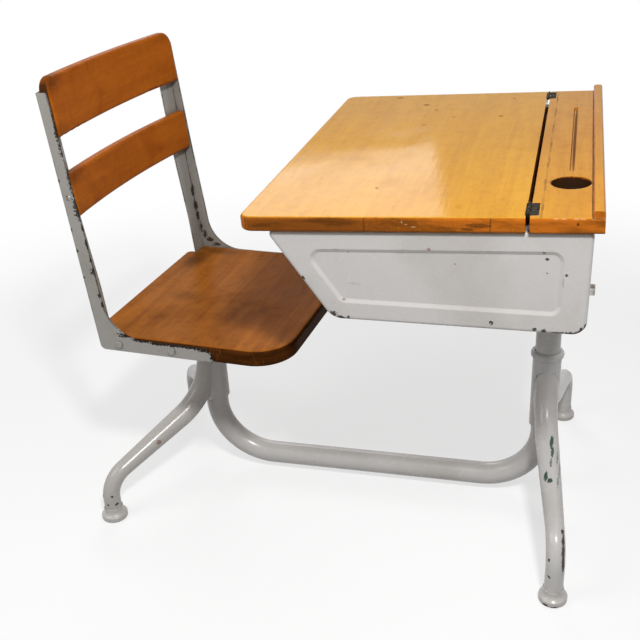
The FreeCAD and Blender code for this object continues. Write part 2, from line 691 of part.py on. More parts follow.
def make_box_sheets():
    """Front slope, bottom and back wall of the book box, seamed in the middle of its bends."""
    lap = SHEET + FIT_GAP
    half = BOX_HALF - BOX_RIM_R - FIT_GAP
    past = half + OVERRUN
    outer = inset(box_outline(), lap)
    skin = prism(outer, box_radii(lap), on_xz(-half), Y_AXIS * 2 * half)
    room = prism(inset(outer, SHEET), box_radii(lap + SHEET), on_xz(-past), Y_AXIS * 2 * past)
    mouth = box_between(V(-LID_DEPTH, -past, RIM_N - SHEET_DROP), V(SEAM_GAP + RAIL_DEPTH, past, 0))
    wall = skin.cut(room).cut(on_top(mouth))
    for side in (-1, 1):
        wall = wall.cut(rear_bolt_hole(side))
    wall = drilled(wall, BRACKET_BOLT_D, bracket_bolt_places(), Z_AXIS * OVERRUN)
    steps = [way * BOX_FRONT_CORNER_R for way in inward_ways(outer)]
    sheets = {}
    for name, i, j in (("box_front", 3, 0), ("box_bottom", 0, 1), ("box_back", 1, 2)):
        (u0, v0), (u1, v1) = outer[i], outer[j]
        band = [(u0 - steps[i].x, v0 - steps[i].y), (u1 - steps[j].x, v1 - steps[j].y),
                (u1 + steps[j].x, v1 + steps[j].y), (u0 + steps[i].x, v0 + steps[i].y)]
        sheets[name] = wall.common(prism(band, [0] * len(band), on_xz(-past), Y_AXIS * 2 * past))
    return sheets


def rear_bolt_y():
    return BOX_HALF - BOX_RIM_R - (BOX_FLANGE - BOX_RIM_R) / 2


def rear_bolt_hole(side):
    y = side * rear_bolt_y()
    return cylinder(REAR_BOLT_D / 2 + FIT_GAP, V(BOX_BACK_X - BOX_FLANGE, y, REAR_BOLT_Z),
                    V(BOX_BACK_X + OVERRUN, y, REAR_BOLT_Z))


def rear_grip():
    """Thickness of the two sheets under a rear bolt."""
    return 2 * SHEET + FIT_GAP


def make_rear_bolts():
    length = rear_grip() + REAR_NUT_H + REAR_THREAD_PAST
    shank = cylinder(REAR_BOLT_D / 2, V(0, 0, -length), V())
    bolt = hexagon_bar(REAR_HEAD_AF, REAR_HEAD_H, V()).fuse(shank).removeSplitter()
    return [aimed(bolt, X_AXIS, V(BOX_BACK_X, side * rear_bolt_y(), REAR_BOLT_Z)) for side in (-1, 1)]


def make_rear_nuts():
    nut = hexagon_bar(REAR_HEAD_AF, REAR_NUT_H, V()).cut(bolt_bore(REAR_BOLT_D, REAR_NUT_H))
    seat_x = BOX_BACK_X - rear_grip()
    return [aimed(nut, -X_AXIS, V(seat_x, side * rear_bolt_y(), REAR_BOLT_Z)) for side in (-1, 1)]


def bolt_bore(diameter, height):
    return cylinder(diameter / 2 + FIT_GAP, V(0, 0, -OVERRUN), V(0, 0, height + OVERRUN))


# Desk post and bracket
def bracket_top_z():
    return BOX_BOTTOM_Z + SHEET + FIT_GAP


def bracket_bolt_places():
    """Bolt centres on the bracket's top face."""
    xs = (-BRACKET_FRONT + BRACKET_BOLT_INSET, BRACKET_BACK - BRACKET_BOLT_INSET)
    reach = BRACKET_WIDTH / 2 - BRACKET_BOLT_INSET
    return [V(x, y, bracket_top_z()) for x in xs for y in (-reach, reach)]


def make_desk_post():
    top_z = bracket_top_z() - CLEAR
    outer, bore = POST_OD / 2, POST_OD / 2 - POST_WALL
    return turned([(bore, POST_FOOT_Z), (outer, POST_FOOT_Z), (outer, top_z), (bore, top_z)])


def make_box_bracket():
    half, top_z = BRACKET_WIDTH / 2, bracket_top_z()
    outline = [(-BRACKET_FRONT, -half), (BRACKET_BACK, -half), (BRACKET_BACK, half), (-BRACKET_FRONT, half)]
    plate = prism(outline, [BRACKET_CORNER_R] * 4, on_xy(top_z - BRACKET_PLATE), Z_AXIS * BRACKET_PLATE)
    collar_foot = V(0, 0, top_z - BRACKET_COLLAR_H)
    collar = cylinder(BRACKET_COLLAR_OD / 2, collar_foot, V(0, 0, top_z - BRACKET_PLATE))
    bracket = plate.fuse(collar).removeSplitter()
    bracket = bracket.cut(cylinder(POST_OD / 2 + FIT_GAP, V(0, 0, POST_FOOT_Z), V(0, 0, top_z + OVERRUN)))
    return drilled(bracket, BRACKET_BOLT_D, bracket_bolt_places(), Z_AXIS * (BRACKET_PLATE + OVERRUN))


def make_bracket_bolts():
    length = SHEET + BRACKET_PLATE + BRACKET_NUT_H + BRACKET_THREAD_PAST
    bolt = screw(BRACKET_HEAD_D, BRACKET_HEAD_H, BRACKET_BOLT_D, length)
    return [aimed(bolt, Z_AXIS, place + Z_AXIS * SHEET) for place in bracket_bolt_places()]


def make_bracket_nuts():
    nut = hexagon_bar(BRACKET_NUT_AF, BRACKET_NUT_H, V()).cut(bolt_bore(BRACKET_BOLT_D, BRACKET_NUT_H))
    return [aimed(nut, -Z_AXIS, place - Z_AXIS * BRACKET_PLATE) for place in bracket_bolt_places()]


# Seat stem
def post_top_z():
    return HUB_CEILING_Z - FIT_GAP - WASHER_THICK


def make_seat_post():
    """Telescoping seat post with the slot that the swivel stop runs in."""
    outer, bore, top_z = POST_OD / 2, POST_OD / 2 - POST_WALL, post_top_z()
    tube = turned([(bore, POST_FOOT_Z), (outer, POST_FOOT_Z), (outer, top_z), (bore, top_z)])
    half_w = STOP_SCREW_D / 2 + STOP_PLAY
    z = stop_screw_z()
    near, far = bore / 2, outer + OVERRUN
    outline = [(near, z - half_w), (far, z - half_w), (far, z + half_w), (near, z + half_w)]
    window = Part.Face(rounded_wire(outline, [0] * 4, on_xz(0)))
    swing = SWIVEL_SWING + math.degrees(half_w / bore)
    slot = window.revolve(V(), Z_AXIS, 2 * swing)
    slot.rotate(V(), Z_AXIS, 180 - swing)
    return tube.cut(slot)


def make_thrust_washer():
    foot = post_top_z()
    outer, bore, top = POST_OD / 2, WASHER_BORE / 2, foot + WASHER_THICK
    return turned([(bore, foot), (outer, foot), (outer, top), (bore, top)])


# Seat
def stop_screw_z():
    return HUB_FOOT_Z + STOP_SCREW_RISE


def make_seat_hub():
    """Cap that turns on the seat post and carries the spider."""
    outer, bore = SOCKET_OD / 2, POST_OD / 2 + FIT_GAP
    hub = turned([(bore, HUB_FOOT_Z), (outer, HUB_FOOT_Z), (outer, SPIDER_UNDER_Z), (0, SPIDER_UNDER_Z),
                  (0, HUB_CEILING_Z), (bore, HUB_CEILING_Z)])
    z = stop_screw_z()
    return hub.cut(cylinder(STOP_SCREW_D / 2 + FIT_GAP, V(-SOCKET_OD, 0, z), V(0, 0, z)))


def make_swivel_stop():
    """Screw through the hub wall whose tip runs in the slot of the seat post."""
    seat_r, tip_r = SOCKET_OD / 2, POST_OD / 2 - POST_WALL + STOP_PLAY
    body = screw(STOP_SCREW_HEAD_D, STOP_SCREW_HEAD_H, STOP_SCREW_D, seat_r - tip_r)
    return aimed(body, -X_AXIS, V(-seat_r, 0, stop_screw_z()))


def spider_screw_places():
    front, back = SPIDER_FRONT - SPIDER_SCREW_INSET, SPIDER_BACK - SPIDER_SCREW_INSET
    across = SPIDER_SPAN / 2 - SPIDER_SCREW_INSET
    return [V(x, y, SPIDER_UNDER_Z) for x, y in ((front, 0), (-back, 0), (0, across), (0, -across))]


def make_seat_spider():
    """Cross of two flat bars under the seat board."""
    arm = SPIDER_ARM_WIDTH / 2
    bars = []
    for back, front, half_y in ((-SPIDER_BACK, SPIDER_FRONT, arm), (-arm, arm, SPIDER_SPAN / 2)):
        outline = [(back, -half_y), (front, -half_y), (front, half_y), (back, half_y)]
        bars.append(prism(outline, [arm / 2] * 4, on_xy(SPIDER_UNDER_Z), Z_AXIS * SPIDER_THICK))
    spider = bars[0].fuse(bars[1]).removeSplitter()
    return drilled(spider, SPIDER_SCREW_D, spider_screw_places(), Z_AXIS * (SPIDER_THICK + OVERRUN))


def make_spider_screws():
    body = screw(SPIDER_SCREW_HEAD_D, SPIDER_SCREW_HEAD_H, SPIDER_SCREW_D, SPIDER_SCREW_LENGTH)
    return [aimed(body, -Z_AXIS, place) for place in spider_screw_places()]


def upright_back_x(z):
    """Back face of the upright at a height."""
    return FLANGE_HEEL - (z - FLANGE_FOOT_Z) * LEAN_RATE


def upright_depth(z):
    share = (z - FLANGE_FOOT_Z) / (UPRIGHT_TOP_Z - FLANGE_FOOT_Z)
    return UPRIGHT_FOOT_DEPTH + (UPRIGHT_TOP_DEPTH - UPRIGHT_FOOT_DEPTH) * share


def frame_bolt_places():
    """Bolt seats on the outside of the left seat flange."""
    length = FLANGE_FRONT - FLANGE_HEEL
    height = FLANGE_FOOT_Z + FLANGE_HEIGHT / 2
    return [V(FLANGE_HEEL + length * share, FRAME_OUT, height) for share in FRAME_BOLT_SHARES]


def make_seat_board():
    """Wooden seat with round front corners, a tongue between the uprights and a dished top."""
    half = SEAT_WIDTH / 2
    notch_x = upright_back_x(FLANGE_FOOT_Z) + FRAME_THICK + CLEAR
    tongue = FRAME_OUT - UPRIGHT_BACK_WIDTH - CLEAR
    outline = [(SEAT_BACK, -tongue), (notch_x, -tongue), (notch_x, -half), (SEAT_FRONT, -half),
               (SEAT_FRONT, half), (notch_x, half), (notch_x, tongue), (SEAT_BACK, tongue)]
    corner, heel = SEAT_CORNER_R, TONGUE_CORNER_R
    radii = [heel, 0, 0, corner, corner, 0, 0, heel]
    board = prism(outline, radii, on_xy(SEAT_UNDER_Z), Z_AXIS * SEAT_THICK)
    rim = [e for e in board.Edges if e.BoundBox.ZLength < CLEAR and e.BoundBox.XMax > notch_x + CLEAR
           and e.BoundBox.XMin > notch_x - CLEAR]
    board = board.makeFillet(SEAT_EDGE_R, rim)
    dish_r = (SEAT_DISH_WIDTH ** 2 / 4 + SEAT_DISH_DEPTH ** 2) / (2 * SEAT_DISH_DEPTH)
    middle_x = (SEAT_FRONT + SEAT_BACK) / 2
    board = board.cut(Part.makeSphere(dish_r, V(middle_x, 0, SEAT_TOP_Z + dish_r - SEAT_DISH_DEPTH)))
    for place in spider_screw_places():
        top = place + Z_AXIS * SPIDER_SCREW_LENGTH
        board = board.cut(cylinder(SPIDER_SCREW_D / 2 + FIT_GAP, place, top))
    for place in frame_bolt_places():
        hole = cylinder(FRAME_BOLT_D / 2 + FIT_GAP, place - Y_AXIS * FRAME_BOLT_LENGTH, place)
        board = board.cut(hole).cut(mirrored(hole))
    return board


def upright_ways(twist):
    """Level directions of the left upright: forward along its side web, inward along its back strip."""
    turn = math.radians(twist)
    return V(math.cos(turn), -math.sin(turn), 0), V(-math.sin(turn), -math.cos(turn), 0)


def angle_section(z, twist):
    """Angle section of the left upright at a height: the side web and the back strip behind the slats."""
    corner = V(upright_back_x(z), FRAME_OUT, z)
    ahead, inward = upright_ways(twist)
    depth, thick, width = upright_depth(z), FRAME_THICK, UPRIGHT_BACK_WIDTH
    steps = [(0, 0), (depth, 0), (depth, thick), (thick, thick), (thick, width), (0, width)]
    return Part.makePolygon([corner + ahead * u + inward * v for u, v in steps + steps[:1]])


def slat_end_y():
    return FRAME_OUT - FRAME_THICK - 2 * CLEAR


def slat_back_radius():
    return (slat_end_y() ** 2 + SLAT_SAG ** 2) / (2 * SLAT_SAG)


def slat_twist():
    """Turn of the slat ends, which the uprights follow."""
    return math.degrees(math.asin(slat_end_y() / slat_back_radius()))


def make_side_frame():
    """Left side: seat flange with a gusset, running up into the twisted upright."""
    start_z, end_z = SEAT_TOP_Z + UPRIGHT_TWIST_START, SEAT_TOP_Z + UPRIGHT_TWIST_END
    flange_top = FLANGE_FOOT_Z + FLANGE_HEIGHT
    foot_x = upright_back_x(flange_top) + upright_depth(flange_top)
    start_x = upright_back_x(start_z)
    outline = [(FLANGE_HEEL, FLANGE_FOOT_Z), (FLANGE_FRONT, FLANGE_FOOT_Z), (FLANGE_FRONT, flange_top),
               (foot_x, flange_top), (start_x + upright_depth(start_z), start_z), (start_x, start_z)]
    radii = [FLANGE_HEEL_R, 0, FLANGE_FRONT_R, GUSSET_R, 0, 0]
    web = prism(outline, radii, on_xz(FRAME_OUT), Y_AXIS * -FRAME_THICK)
    heel_z = FLANGE_FOOT_Z + FLANGE_HEEL_R
    strip = [(upright_back_x(heel_z), heel_z), (upright_back_x(heel_z) + FRAME_THICK, heel_z),
             (start_x + FRAME_THICK, start_z), (start_x, start_z)]
    back = prism(strip, [0] * 4, on_xz(FRAME_OUT), Y_AXIS * -UPRIGHT_BACK_WIDTH)
    straight, turned_in = angle_section(start_z, 0), angle_section(end_z, slat_twist())
    twisted = Part.makeLoft([straight, turned_in], True, True)
    upper = Part.makeLoft([turned_in, angle_section(UPRIGHT_TOP_Z, slat_twist())], True, True)
    frame = web.multiFuse([back, twisted, upper]).removeSplitter()
    frame = drilled(frame, FRAME_BOLT_D, frame_bolt_places(), Y_AXIS * OVERRUN)
    for diameter, seats in ((SLAT_SCREW_D, slat_screw_seats()), (SLAT_RIVET_D, slat_rivet_seats())):
        for seat, out in seats:
            frame = drilled(frame, diameter, [seat], out * OVERRUN)
    return frame


def make_frame_bolts():
    body = screw(FRAME_BOLT_HEAD_D, FRAME_BOLT_HEAD_H, FRAME_BOLT_D, FRAME_BOLT_LENGTH)
    left = [aimed(body, Y_AXIS, place) for place in frame_bolt_places()]
    return left + [mirrored(bolt) for bolt in left]


def slat_heights():
    """Foot and top of the lower and of the upper slat."""
    lower = SEAT_TOP_Z + LOWER_SLAT_RISE
    upper = lower + LOWER_SLAT_HEIGHT + SLAT_SPACE
    return (lower, lower + LOWER_SLAT_HEIGHT), (upper, upper + UPPER_SLAT_HEIGHT)


def make_slat(foot_z, top_z, corner_r, holes):
    """Slat bent hollow towards the sitter, leaning with the uprights."""
    back_r = slat_back_radius()
    half_turn = slat_twist()
    centre_x = back_r * math.cos(math.radians(half_turn))
    height = top_z - foot_z
    blank = turned([(back_r - SLAT_THICK, 0), (back_r, 0), (back_r, height), (back_r - SLAT_THICK, height)])
    half = slat_end_y()
    far = V(-2 * centre_x, 2 * half, 0)
    wedge = Part.Face(Part.makePolygon([V(), V(far.x, -far.y, 0), far, V()]))
    slat = blank.common(wedge.extrude(Z_AXIS * height))
    across = [e for e in slat.Edges if e.BoundBox.ZLength < CLEAR and e.Length < 2 * SLAT_THICK]
    slat = slat.makeFillet(corner_r, [e for e in across if e.BoundBox.ZMin > height / 2])
    slat = slat.makeFillet(SLAT_EDGE_R, slat.Edges)
    slat.translate(V(centre_x + CLEAR, 0, 0))
    slat.rotate(V(), Y_AXIS, -UPRIGHT_LEAN)
    slat.translate(V(upright_back_x(foot_z) + FRAME_THICK, 0, foot_z))
    for hole in holes:
        slat = slat.cut(hole).cut(mirrored(hole))
    return slat


def slat_screw_seats():
    """Seats on the back of the left upright, two to each slat, with the way the head faces."""
    inward = upright_ways(slat_twist())[1]
    out = inward.cross(LEAN_WAY).normalize()
    seats = []
    for foot_z, top_z in slat_heights():
        for share in SLAT_SCREW_SHARES:
            z = foot_z + (min(top_z, UPRIGHT_TOP_Z) - foot_z) * share
            corner = V(upright_back_x(z), FRAME_OUT, z)
            seats.append((corner + inward * UPRIGHT_BACK_WIDTH / 2, out))
    return seats


def slat_rivet_seats():
    """Seat of the rivet in each side web at the lower slat, with the way the head faces."""
    ahead = upright_ways(slat_twist())[0]
    out = LEAN_WAY.cross(ahead).normalize()
    foot_z, top_z = slat_heights()[0]
    z = (foot_z + top_z) / 2
    corner = V(upright_back_x(z), FRAME_OUT, z)
    return [(corner + ahead * upright_depth(z) / 2, out)]


def paired(body, seats):
    left = [aimed(body, out, seat) for seat, out in seats]
    return left + [mirrored(piece) for piece in left]


def make_slat_screws():
    body = screw(SLAT_SCREW_HEAD_D, SLAT_SCREW_HEAD_H, SLAT_SCREW_D, SLAT_SCREW_LENGTH)
    return paired(body, slat_screw_seats())


def make_slat_rivets():
    body = screw(SLAT_RIVET_HEAD_D, SLAT_RIVET_HEAD_H, SLAT_RIVET_D, SLAT_RIVET_LENGTH)
    return paired(body, slat_rivet_seats())


def slat_holes():
    """Holes in the slats for the screws and rivets of the left side."""
    screws = [cylinder(SLAT_SCREW_D / 2 + FIT_GAP, seat - out * SLAT_SCREW_LENGTH, seat)
              for seat, out in slat_screw_seats()]
    rivets = [cylinder(SLAT_RIVET_D / 2 + FIT_GAP, seat - out * SLAT_RIVET_LENGTH, seat)
              for seat, out in slat_rivet_seats()]
    return screws[:2] + rivets, screws[2:]


# The whole part
def seat_placed(shape):
    """Turn a seat piece to its rest position and move it over the seat post."""
    result = shape.copy()
    result.rotate(V(), Z_AXIS, SEAT_TURN)
    result.translate(V(-POST_SPACING, 0, 0))
    return result


def base_nodes():
    nodes = {"base_tube": make_base_tube(),
             "desk_socket": make_socket(DESK_SOCKET_TOP_Z, True, 0),
             "desk_lock_screw": make_lock_screw(DESK_SOCKET_TOP_Z, 0)}
    seat_end = {"seat_socket": make_socket(SEAT_SOCKET_TOP_Z, False, SEAT_LOCK_TURN),
                "seat_lock_screw": make_lock_screw(SEAT_SOCKET_TOP_Z, SEAT_LOCK_TURN)}
    desk_root = DESK_SOCKET_TOP_Z - BEAD_HEIGHT - LEG_ROOT_DROP
    seat_root = SEAT_SOCKET_TOP_Z - LEG_ROOT_DROP
    desk_leg = make_leg(DESK_LEG_REACH, DESK_LEG_SPREAD, desk_root, DESK_LEG_BEND_DROP, DESK_KNEE_Z)
    seat_leg = make_leg(SEAT_LEG_REACH, SEAT_LEG_SPREAD, seat_root, SEAT_LEG_BEND_DROP, SEAT_KNEE_Z)
    desk_foot = make_foot(DESK_LEG_REACH, DESK_LEG_SPREAD)
    seat_foot = make_foot(SEAT_LEG_REACH, SEAT_LEG_SPREAD)
    nodes.update(sided("desk_leg", desk_leg), **sided("desk_foot", desk_foot))
    seat_end.update(sided("seat_leg", seat_leg), **sided("seat_foot", seat_foot))
    for name, shape in seat_end.items():
        moved = shape.copy()
        moved.translate(V(-POST_SPACING, 0, 0))
        nodes[name] = moved
    return nodes


def sided(name, left):
    """Left piece as made, right piece as its mirror image."""
    return {name + "_left": left, name + "_right": mirrored(left)}


def desk_nodes():
    nodes = {"desk_post": make_desk_post(), "box_bracket": make_box_bracket(),
             "bracket_bolts": make_bracket_bolts(), "bracket_nuts": make_bracket_nuts(),
             "rear_bolts": make_rear_bolts(), "rear_nuts": make_rear_nuts(),
             "top_rail": make_top_rail(), "rear_ledge": make_rear_ledge(), "rail_screws": make_rail_screws(),
             "hinge_screws": [on_top_solid(s) for s in hinge_screws()]}
    nodes.update(sided("side_panel", make_side_panel()), **make_box_sheets())
    for name, side in (("left", 1), ("right", -1)):
        nodes["hinge_leaf_" + name] = make_hinge_leaf(side)
        nodes["hinge_pin_" + name] = make_hinge_pin(side)
    return nodes


def lid_nodes():
    nodes = {"lid_board": make_lid_board(), "lid_leaf_screws": [on_top_solid(s) for s in lid_screws()]}
    for name, side in (("left", 1), ("right", -1)):
        nodes["lid_leaf_" + name] = make_lid_leaf(side)
    return nodes


def stem_nodes():
    """Seat post and washer, straight, over the seat post axis."""
    nodes = {"seat_post": make_seat_post(), "thrust_washer": make_thrust_washer()}
    for shape in nodes.values():
        shape.translate(V(-POST_SPACING, 0, 0))
    return nodes


def seat_nodes():
    lower_holes, upper_holes = slat_holes()
    (lower_foot, lower_top), (upper_foot, upper_top) = slat_heights()
    nodes = {"seat_hub": make_seat_hub(), "seat_spider": make_seat_spider(),
             "spider_screws": make_spider_screws(), "swivel_stop_screw": make_swivel_stop(),
             "seat_board": make_seat_board(), "frame_bolts": make_frame_bolts(),
             "slat_screws": make_slat_screws(), "slat_rivets": make_slat_rivets(),
             "back_slat_lower": make_slat(lower_foot, lower_top, LOWER_SLAT_CORNER_R, lower_holes),
             "back_slat_upper": make_slat(upper_foot, upper_top, UPPER_SLAT_CORNER_R, upper_holes)}
    nodes.update(sided("side_frame", make_side_frame()))
    return {name: [seat_placed(s) for s in shape] if isinstance(shape, list) else seat_placed(shape)
            for name, shape in nodes.items()}


def all_bodies():
    return {"base": base_nodes(), "desk": desk_nodes(), "lid": lid_nodes(),
            "seat_stem": stem_nodes(), "seat": seat_nodes()}


def joined(shape):
    """One shape for a node: its single solid, or its group of like fasteners."""
    if isinstance(shape, list):
        return Part.makeCompound([piece.Solids[0] for piece in shape])
    return shape.Solids[0]


def main():
    """Build every node, centre the part over its own box and write one file per node."""
    bodies = {body: {name: joined(shape) for name, shape in nodes.items()}
              for body, nodes in all_bodies().items()}
    whole = Part.makeCompound([shape for nodes in bodies.values() for shape in nodes.values()])
    box = whole.optimalBoundingBox(False, False)
    shift = V(-(box.XMin + box.XMax) / 2, -(box.YMin + box.YMax) / 2, -box.ZMin)
    os.makedirs("parts", exist_ok=True)
    for nodes in bodies.values():
        for name, shape in nodes.items():
            shape.translate(shift)
            shape.exportStep(os.path.join("parts", name + ".step"))
    return bodies, shift


if __name__ == "__main__":
    main()
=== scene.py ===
import logging
import math
from dataclasses import dataclass
from enum import Enum
from typing import Dict, Iterable, List, Optional, Sequence, Tuple, Union

import bmesh
import bpy
from mathutils import Matrix, Vector
from mathutils.bvhtree import BVHTree


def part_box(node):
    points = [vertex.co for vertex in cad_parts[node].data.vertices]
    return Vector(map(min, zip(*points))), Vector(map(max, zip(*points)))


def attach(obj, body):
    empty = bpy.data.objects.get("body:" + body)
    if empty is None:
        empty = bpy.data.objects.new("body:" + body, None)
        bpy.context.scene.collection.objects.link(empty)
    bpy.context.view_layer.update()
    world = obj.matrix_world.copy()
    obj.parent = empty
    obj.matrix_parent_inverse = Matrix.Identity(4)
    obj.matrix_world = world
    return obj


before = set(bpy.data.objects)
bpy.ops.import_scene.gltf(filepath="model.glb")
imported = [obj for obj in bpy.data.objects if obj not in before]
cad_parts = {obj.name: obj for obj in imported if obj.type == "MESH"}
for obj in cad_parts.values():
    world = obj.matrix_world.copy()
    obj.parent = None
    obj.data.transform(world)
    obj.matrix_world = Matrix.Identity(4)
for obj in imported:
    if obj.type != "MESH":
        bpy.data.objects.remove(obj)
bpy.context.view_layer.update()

Colour = Tuple[float, float, float]
Triple = Tuple[float, float, float]
Socket = bpy.types.NodeSocket
Feed = Union[float, Triple, Socket]
Feeds = Dict[Union[int, str], Feed]

LOG = logging.getLogger("school_desk")
IMAGE_SIDE = 640
SENSOR_MM = 36.0
MM = 0.001
MIX_SHARE, MIX_FIRST, MIX_SECOND, MIX_COLOUR = 0, 6, 7, 2

TOP_SLOPE = math.radians(2.5)
TOP_ALONG = Vector((math.cos(TOP_SLOPE), 0, math.sin(TOP_SLOPE)))
TOP_UP = Vector((-math.sin(TOP_SLOPE), 0, math.cos(TOP_SLOPE)))
HALF_TOP = 0.305
SEAT_TURN = math.radians(-4.5)


class Slot(Enum):
    """The record's material slots."""

    FRAME_PAINT = "frame_paint"


class Stain(Enum):
    """What a single mark on a surface is."""

    BARE = "bare"
    RUST = "rust"
    SCUFF = "scuff"
    PALE = "pale"


@dataclass(frozen=True)
class Mark:
    """One mark with a place of its own, as an ellipsoid of stained surface.

    Attributes:
        stain: what the mark is.
        centre: its middle in the frame, in metres.
        reach: how far it goes along x, y and z, in metres.
        strength: how much of the surface below it covers.
        soft: how wide its fading rim is, as a share of its reach.
    """

    stain: Stain
    centre: Triple
    reach: Triple
    strength: float = 0.9
    soft: float = 0.2


def mark_rows(stain: Stain, *rows: Tuple[float, ...]) -> Tuple[Mark, ...]:
    """Marks of one stain.

    Args:
        stain: what they are.
        rows: for each mark its centre and its reach in millimetres, then its strength and its
            softness where they aren't the usual ones.

    Returns:
        The marks.
    """
    return tuple(Mark(stain, tuple(MM * n for n in row[:3]), tuple(MM * n for n in row[3:6]),
                      *row[6:]) for row in rows)


EDGE_TURN = (0.995, 0.90)
MARK_RIM = 1.5
TEAR = 2.6
CHIP_REACH = 3.6 * MM
RUB_REACH = 2.4 * MM
CORNER_REACH = 14 * MM
STEEL_BLACK = (0.012, 0.009, 0.007)
STEEL_BROWN = (0.060, 0.026, 0.012)
RUST_BROWN = (0.19, 0.075, 0.03)
SCUFF_GREEN = (0.016, 0.058, 0.045)

FIBRE_GRAIN = (150, 7, 150)
FIGURE_GRAIN = (26, 2.2, 26)
PORE_GRAIN = (820, 36, 820)
SMEAR_GRAIN = (22, 22, 120)
SCRATCH_GRAIN = (9, 520, 40)
SCRATCH_SLANTS = ((0.5, 0.0), (-0.9, 3.7), (1.9, 8.1))
JOINT_HALF_WIDTH = 1.1 * MM
JOINT_BLACK = (0.02, 0.01, 0.006)
WOOD_STAINS = {Stain.BARE: (0.03, 0.014, 0.007), Stain.RUST: (0.12, 0.045, 0.012),
               Stain.PALE: (0.66, 0.47, 0.25)}


class Graph:
    """A material's node tree, with short ways to add the nodes that a finish needs."""

    def __init__(self, name: str) -> None:
        """Starts an empty tree.

        Args:
            name: the name of its new material.
        """
        self.material = bpy.data.materials.new(name)
        self.material.use_nodes = True
        self.tree = self.material.node_tree
        self.tree.nodes.clear()
        coordinates = self.node("TexCoord")
        self.place = coordinates.outputs["Object"]
        self.facing = coordinates.outputs["Normal"]

    def node(self, kind: str, feeds: Optional[Feeds] = None,
             **settings: object) -> bpy.types.Node:
        """Adds a node.

        Args:
            kind: the node's type, without its ShaderNode prefix.
            feeds: what goes into its input sockets.
            settings: values for the node's own properties.

        Returns:
            The new node.
        """
        made = self.tree.nodes.new("ShaderNode" + kind)
        for key, value in settings.items():
            setattr(made, key, value)
        for place, feed in (feeds or {}).items():
            self.feed(made.inputs[place], feed)
        return made

    def feed(self, socket: Socket, value: Feed) -> None:
        """Links a socket to another one, or sets its value.

        Args:
            socket: the socket to fill.
            value: what goes into it.
        """
        if isinstance(value, bpy.types.NodeSocket):
            self.tree.links.new(value, socket)
        elif isinstance(value, (int, float)):
            socket.default_value = value
        else:
            room = len(socket.default_value)
            socket.default_value = (tuple(value) + (1.0,))[:room]

    def math(self, operation: str, first: Feed, second: Feed = 0.0) -> Socket:
        """Adds a Math node.

        Args:
            operation: Blender's name for the sum.
            first: its first number.
            second: its second number.

        Returns:
            The socket with the answer.
        """
        return self.node("Math", {0: first, 1: second}, operation=operation).outputs[0]

    def vector(self, operation: str, first: Feed, second: Feed = (0, 0, 0)) -> bpy.types.Node:
        """Adds a Vector Math node.

        Args:
            operation: Blender's name for the sum.
            first: its first vector.
            second: its second vector.

        Returns:
            The node, whose outputs hold a vector and a number.
        """
        return self.node("VectorMath", {0: first, 1: second}, operation=operation)

    def dot(self, first: Feed, second: Feed) -> Socket:
        """The dot product of two vectors."""
        return self.vector("DOT_PRODUCT", first, second).outputs["Value"]

    def ramp(self, value: Feed, low: float, high: float) -> Socket:
        """A smooth step.

        Args:
            value: what it is a step of.
            low: where it is 0.
            high: where it is 1, which may be the smaller one.

        Returns:
            The socket with the step.
        """
        start, end, first, last = (low, high, 0.0, 1.0) if low < high else (high, low, 1.0, 0.0)
        feeds = {"Value": value, "From Min": start, "From Max": end, "To Min": first,
                 "To Max": last}
        return self.node("MapRange", feeds, interpolation_type="SMOOTHSTEP").outputs["Result"]

    def noise(self, place: Socket, scale: float, detail: float = 3.0, rough: float = 0.5,
              twist: float = 0.0) -> Socket:
        """Adds a Noise texture.

        Args:
            place: where it is read.
            scale: its grains for each unit of place.
            detail: its octaves.
            rough: how much the finer octaves count.
            twist: how far it is warped.

        Returns:
            The socket with its value, about 0.5.
        """
        feeds = {"Vector": place, "Scale": scale, "Detail": detail, "Roughness": rough,
                 "Distortion": twist}
        return self.node("TexNoise", feeds).outputs[0]

    def stretched(self, scale: Triple, turn: Triple = (0, 0, 0)) -> Socket:
        """The surface's place, turned and then scaled.

        Args:
            scale: the scale along each axis.
            turn: the turn before it, in radians.

        Returns:
            The socket with the place.
        """
        turned = self.node("VectorRotate", {"Vector": self.place, "Rotation": turn},
                           rotation_type="EULER_XYZ")
        return self.vector("MULTIPLY", turned.outputs[0], scale).outputs["Vector"]

    def mix(self, share: Feed, first: Feed, second: Feed) -> Socket:
        """Adds a Mix node for colours.

        Args:
            share: how much of the second colour shows.
            first: the colour at 0.
            second: the colour at 1.

        Returns:
            The socket with the mixed colour.
        """
        feeds = {MIX_SHARE: share, MIX_FIRST: first, MIX_SECOND: second}
        return self.node("Mix", feeds, data_type="RGBA").outputs[MIX_COLOUR]

    def freckles(self, scale: float, share: float, size: float) -> Socket:
        """Scattered round freckles.

        Args:
            scale: cells for each metre.
            share: how many of the cells hold a freckle.
            size: a freckle's radius as a share of its cell.

        Returns:
            The socket with 1 on a freckle and 0 off it.
        """
        cells = self.node("TexVoronoi", {"Vector": self.place, "Scale": scale},
                          voronoi_dimensions="3D")
        chosen = self.math("GREATER_THAN", self.dot(cells.outputs["Color"], (1, 0, 0)), 1 - share)
        round_spot = self.ramp(cells.outputs["Distance"], size, size * 0.6)
        return self.math("MULTIPLY", chosen, round_spot)

    def rounded(self, radius: float) -> Socket:
        """The surface's normal, as if its edges were rounded.

        Args:
            radius: the radius of the rounding, in metres.

        Returns:
            The socket with the normal.
        """
        return self.node("Bevel", {"Radius": radius}, samples=4).outputs["Normal"]

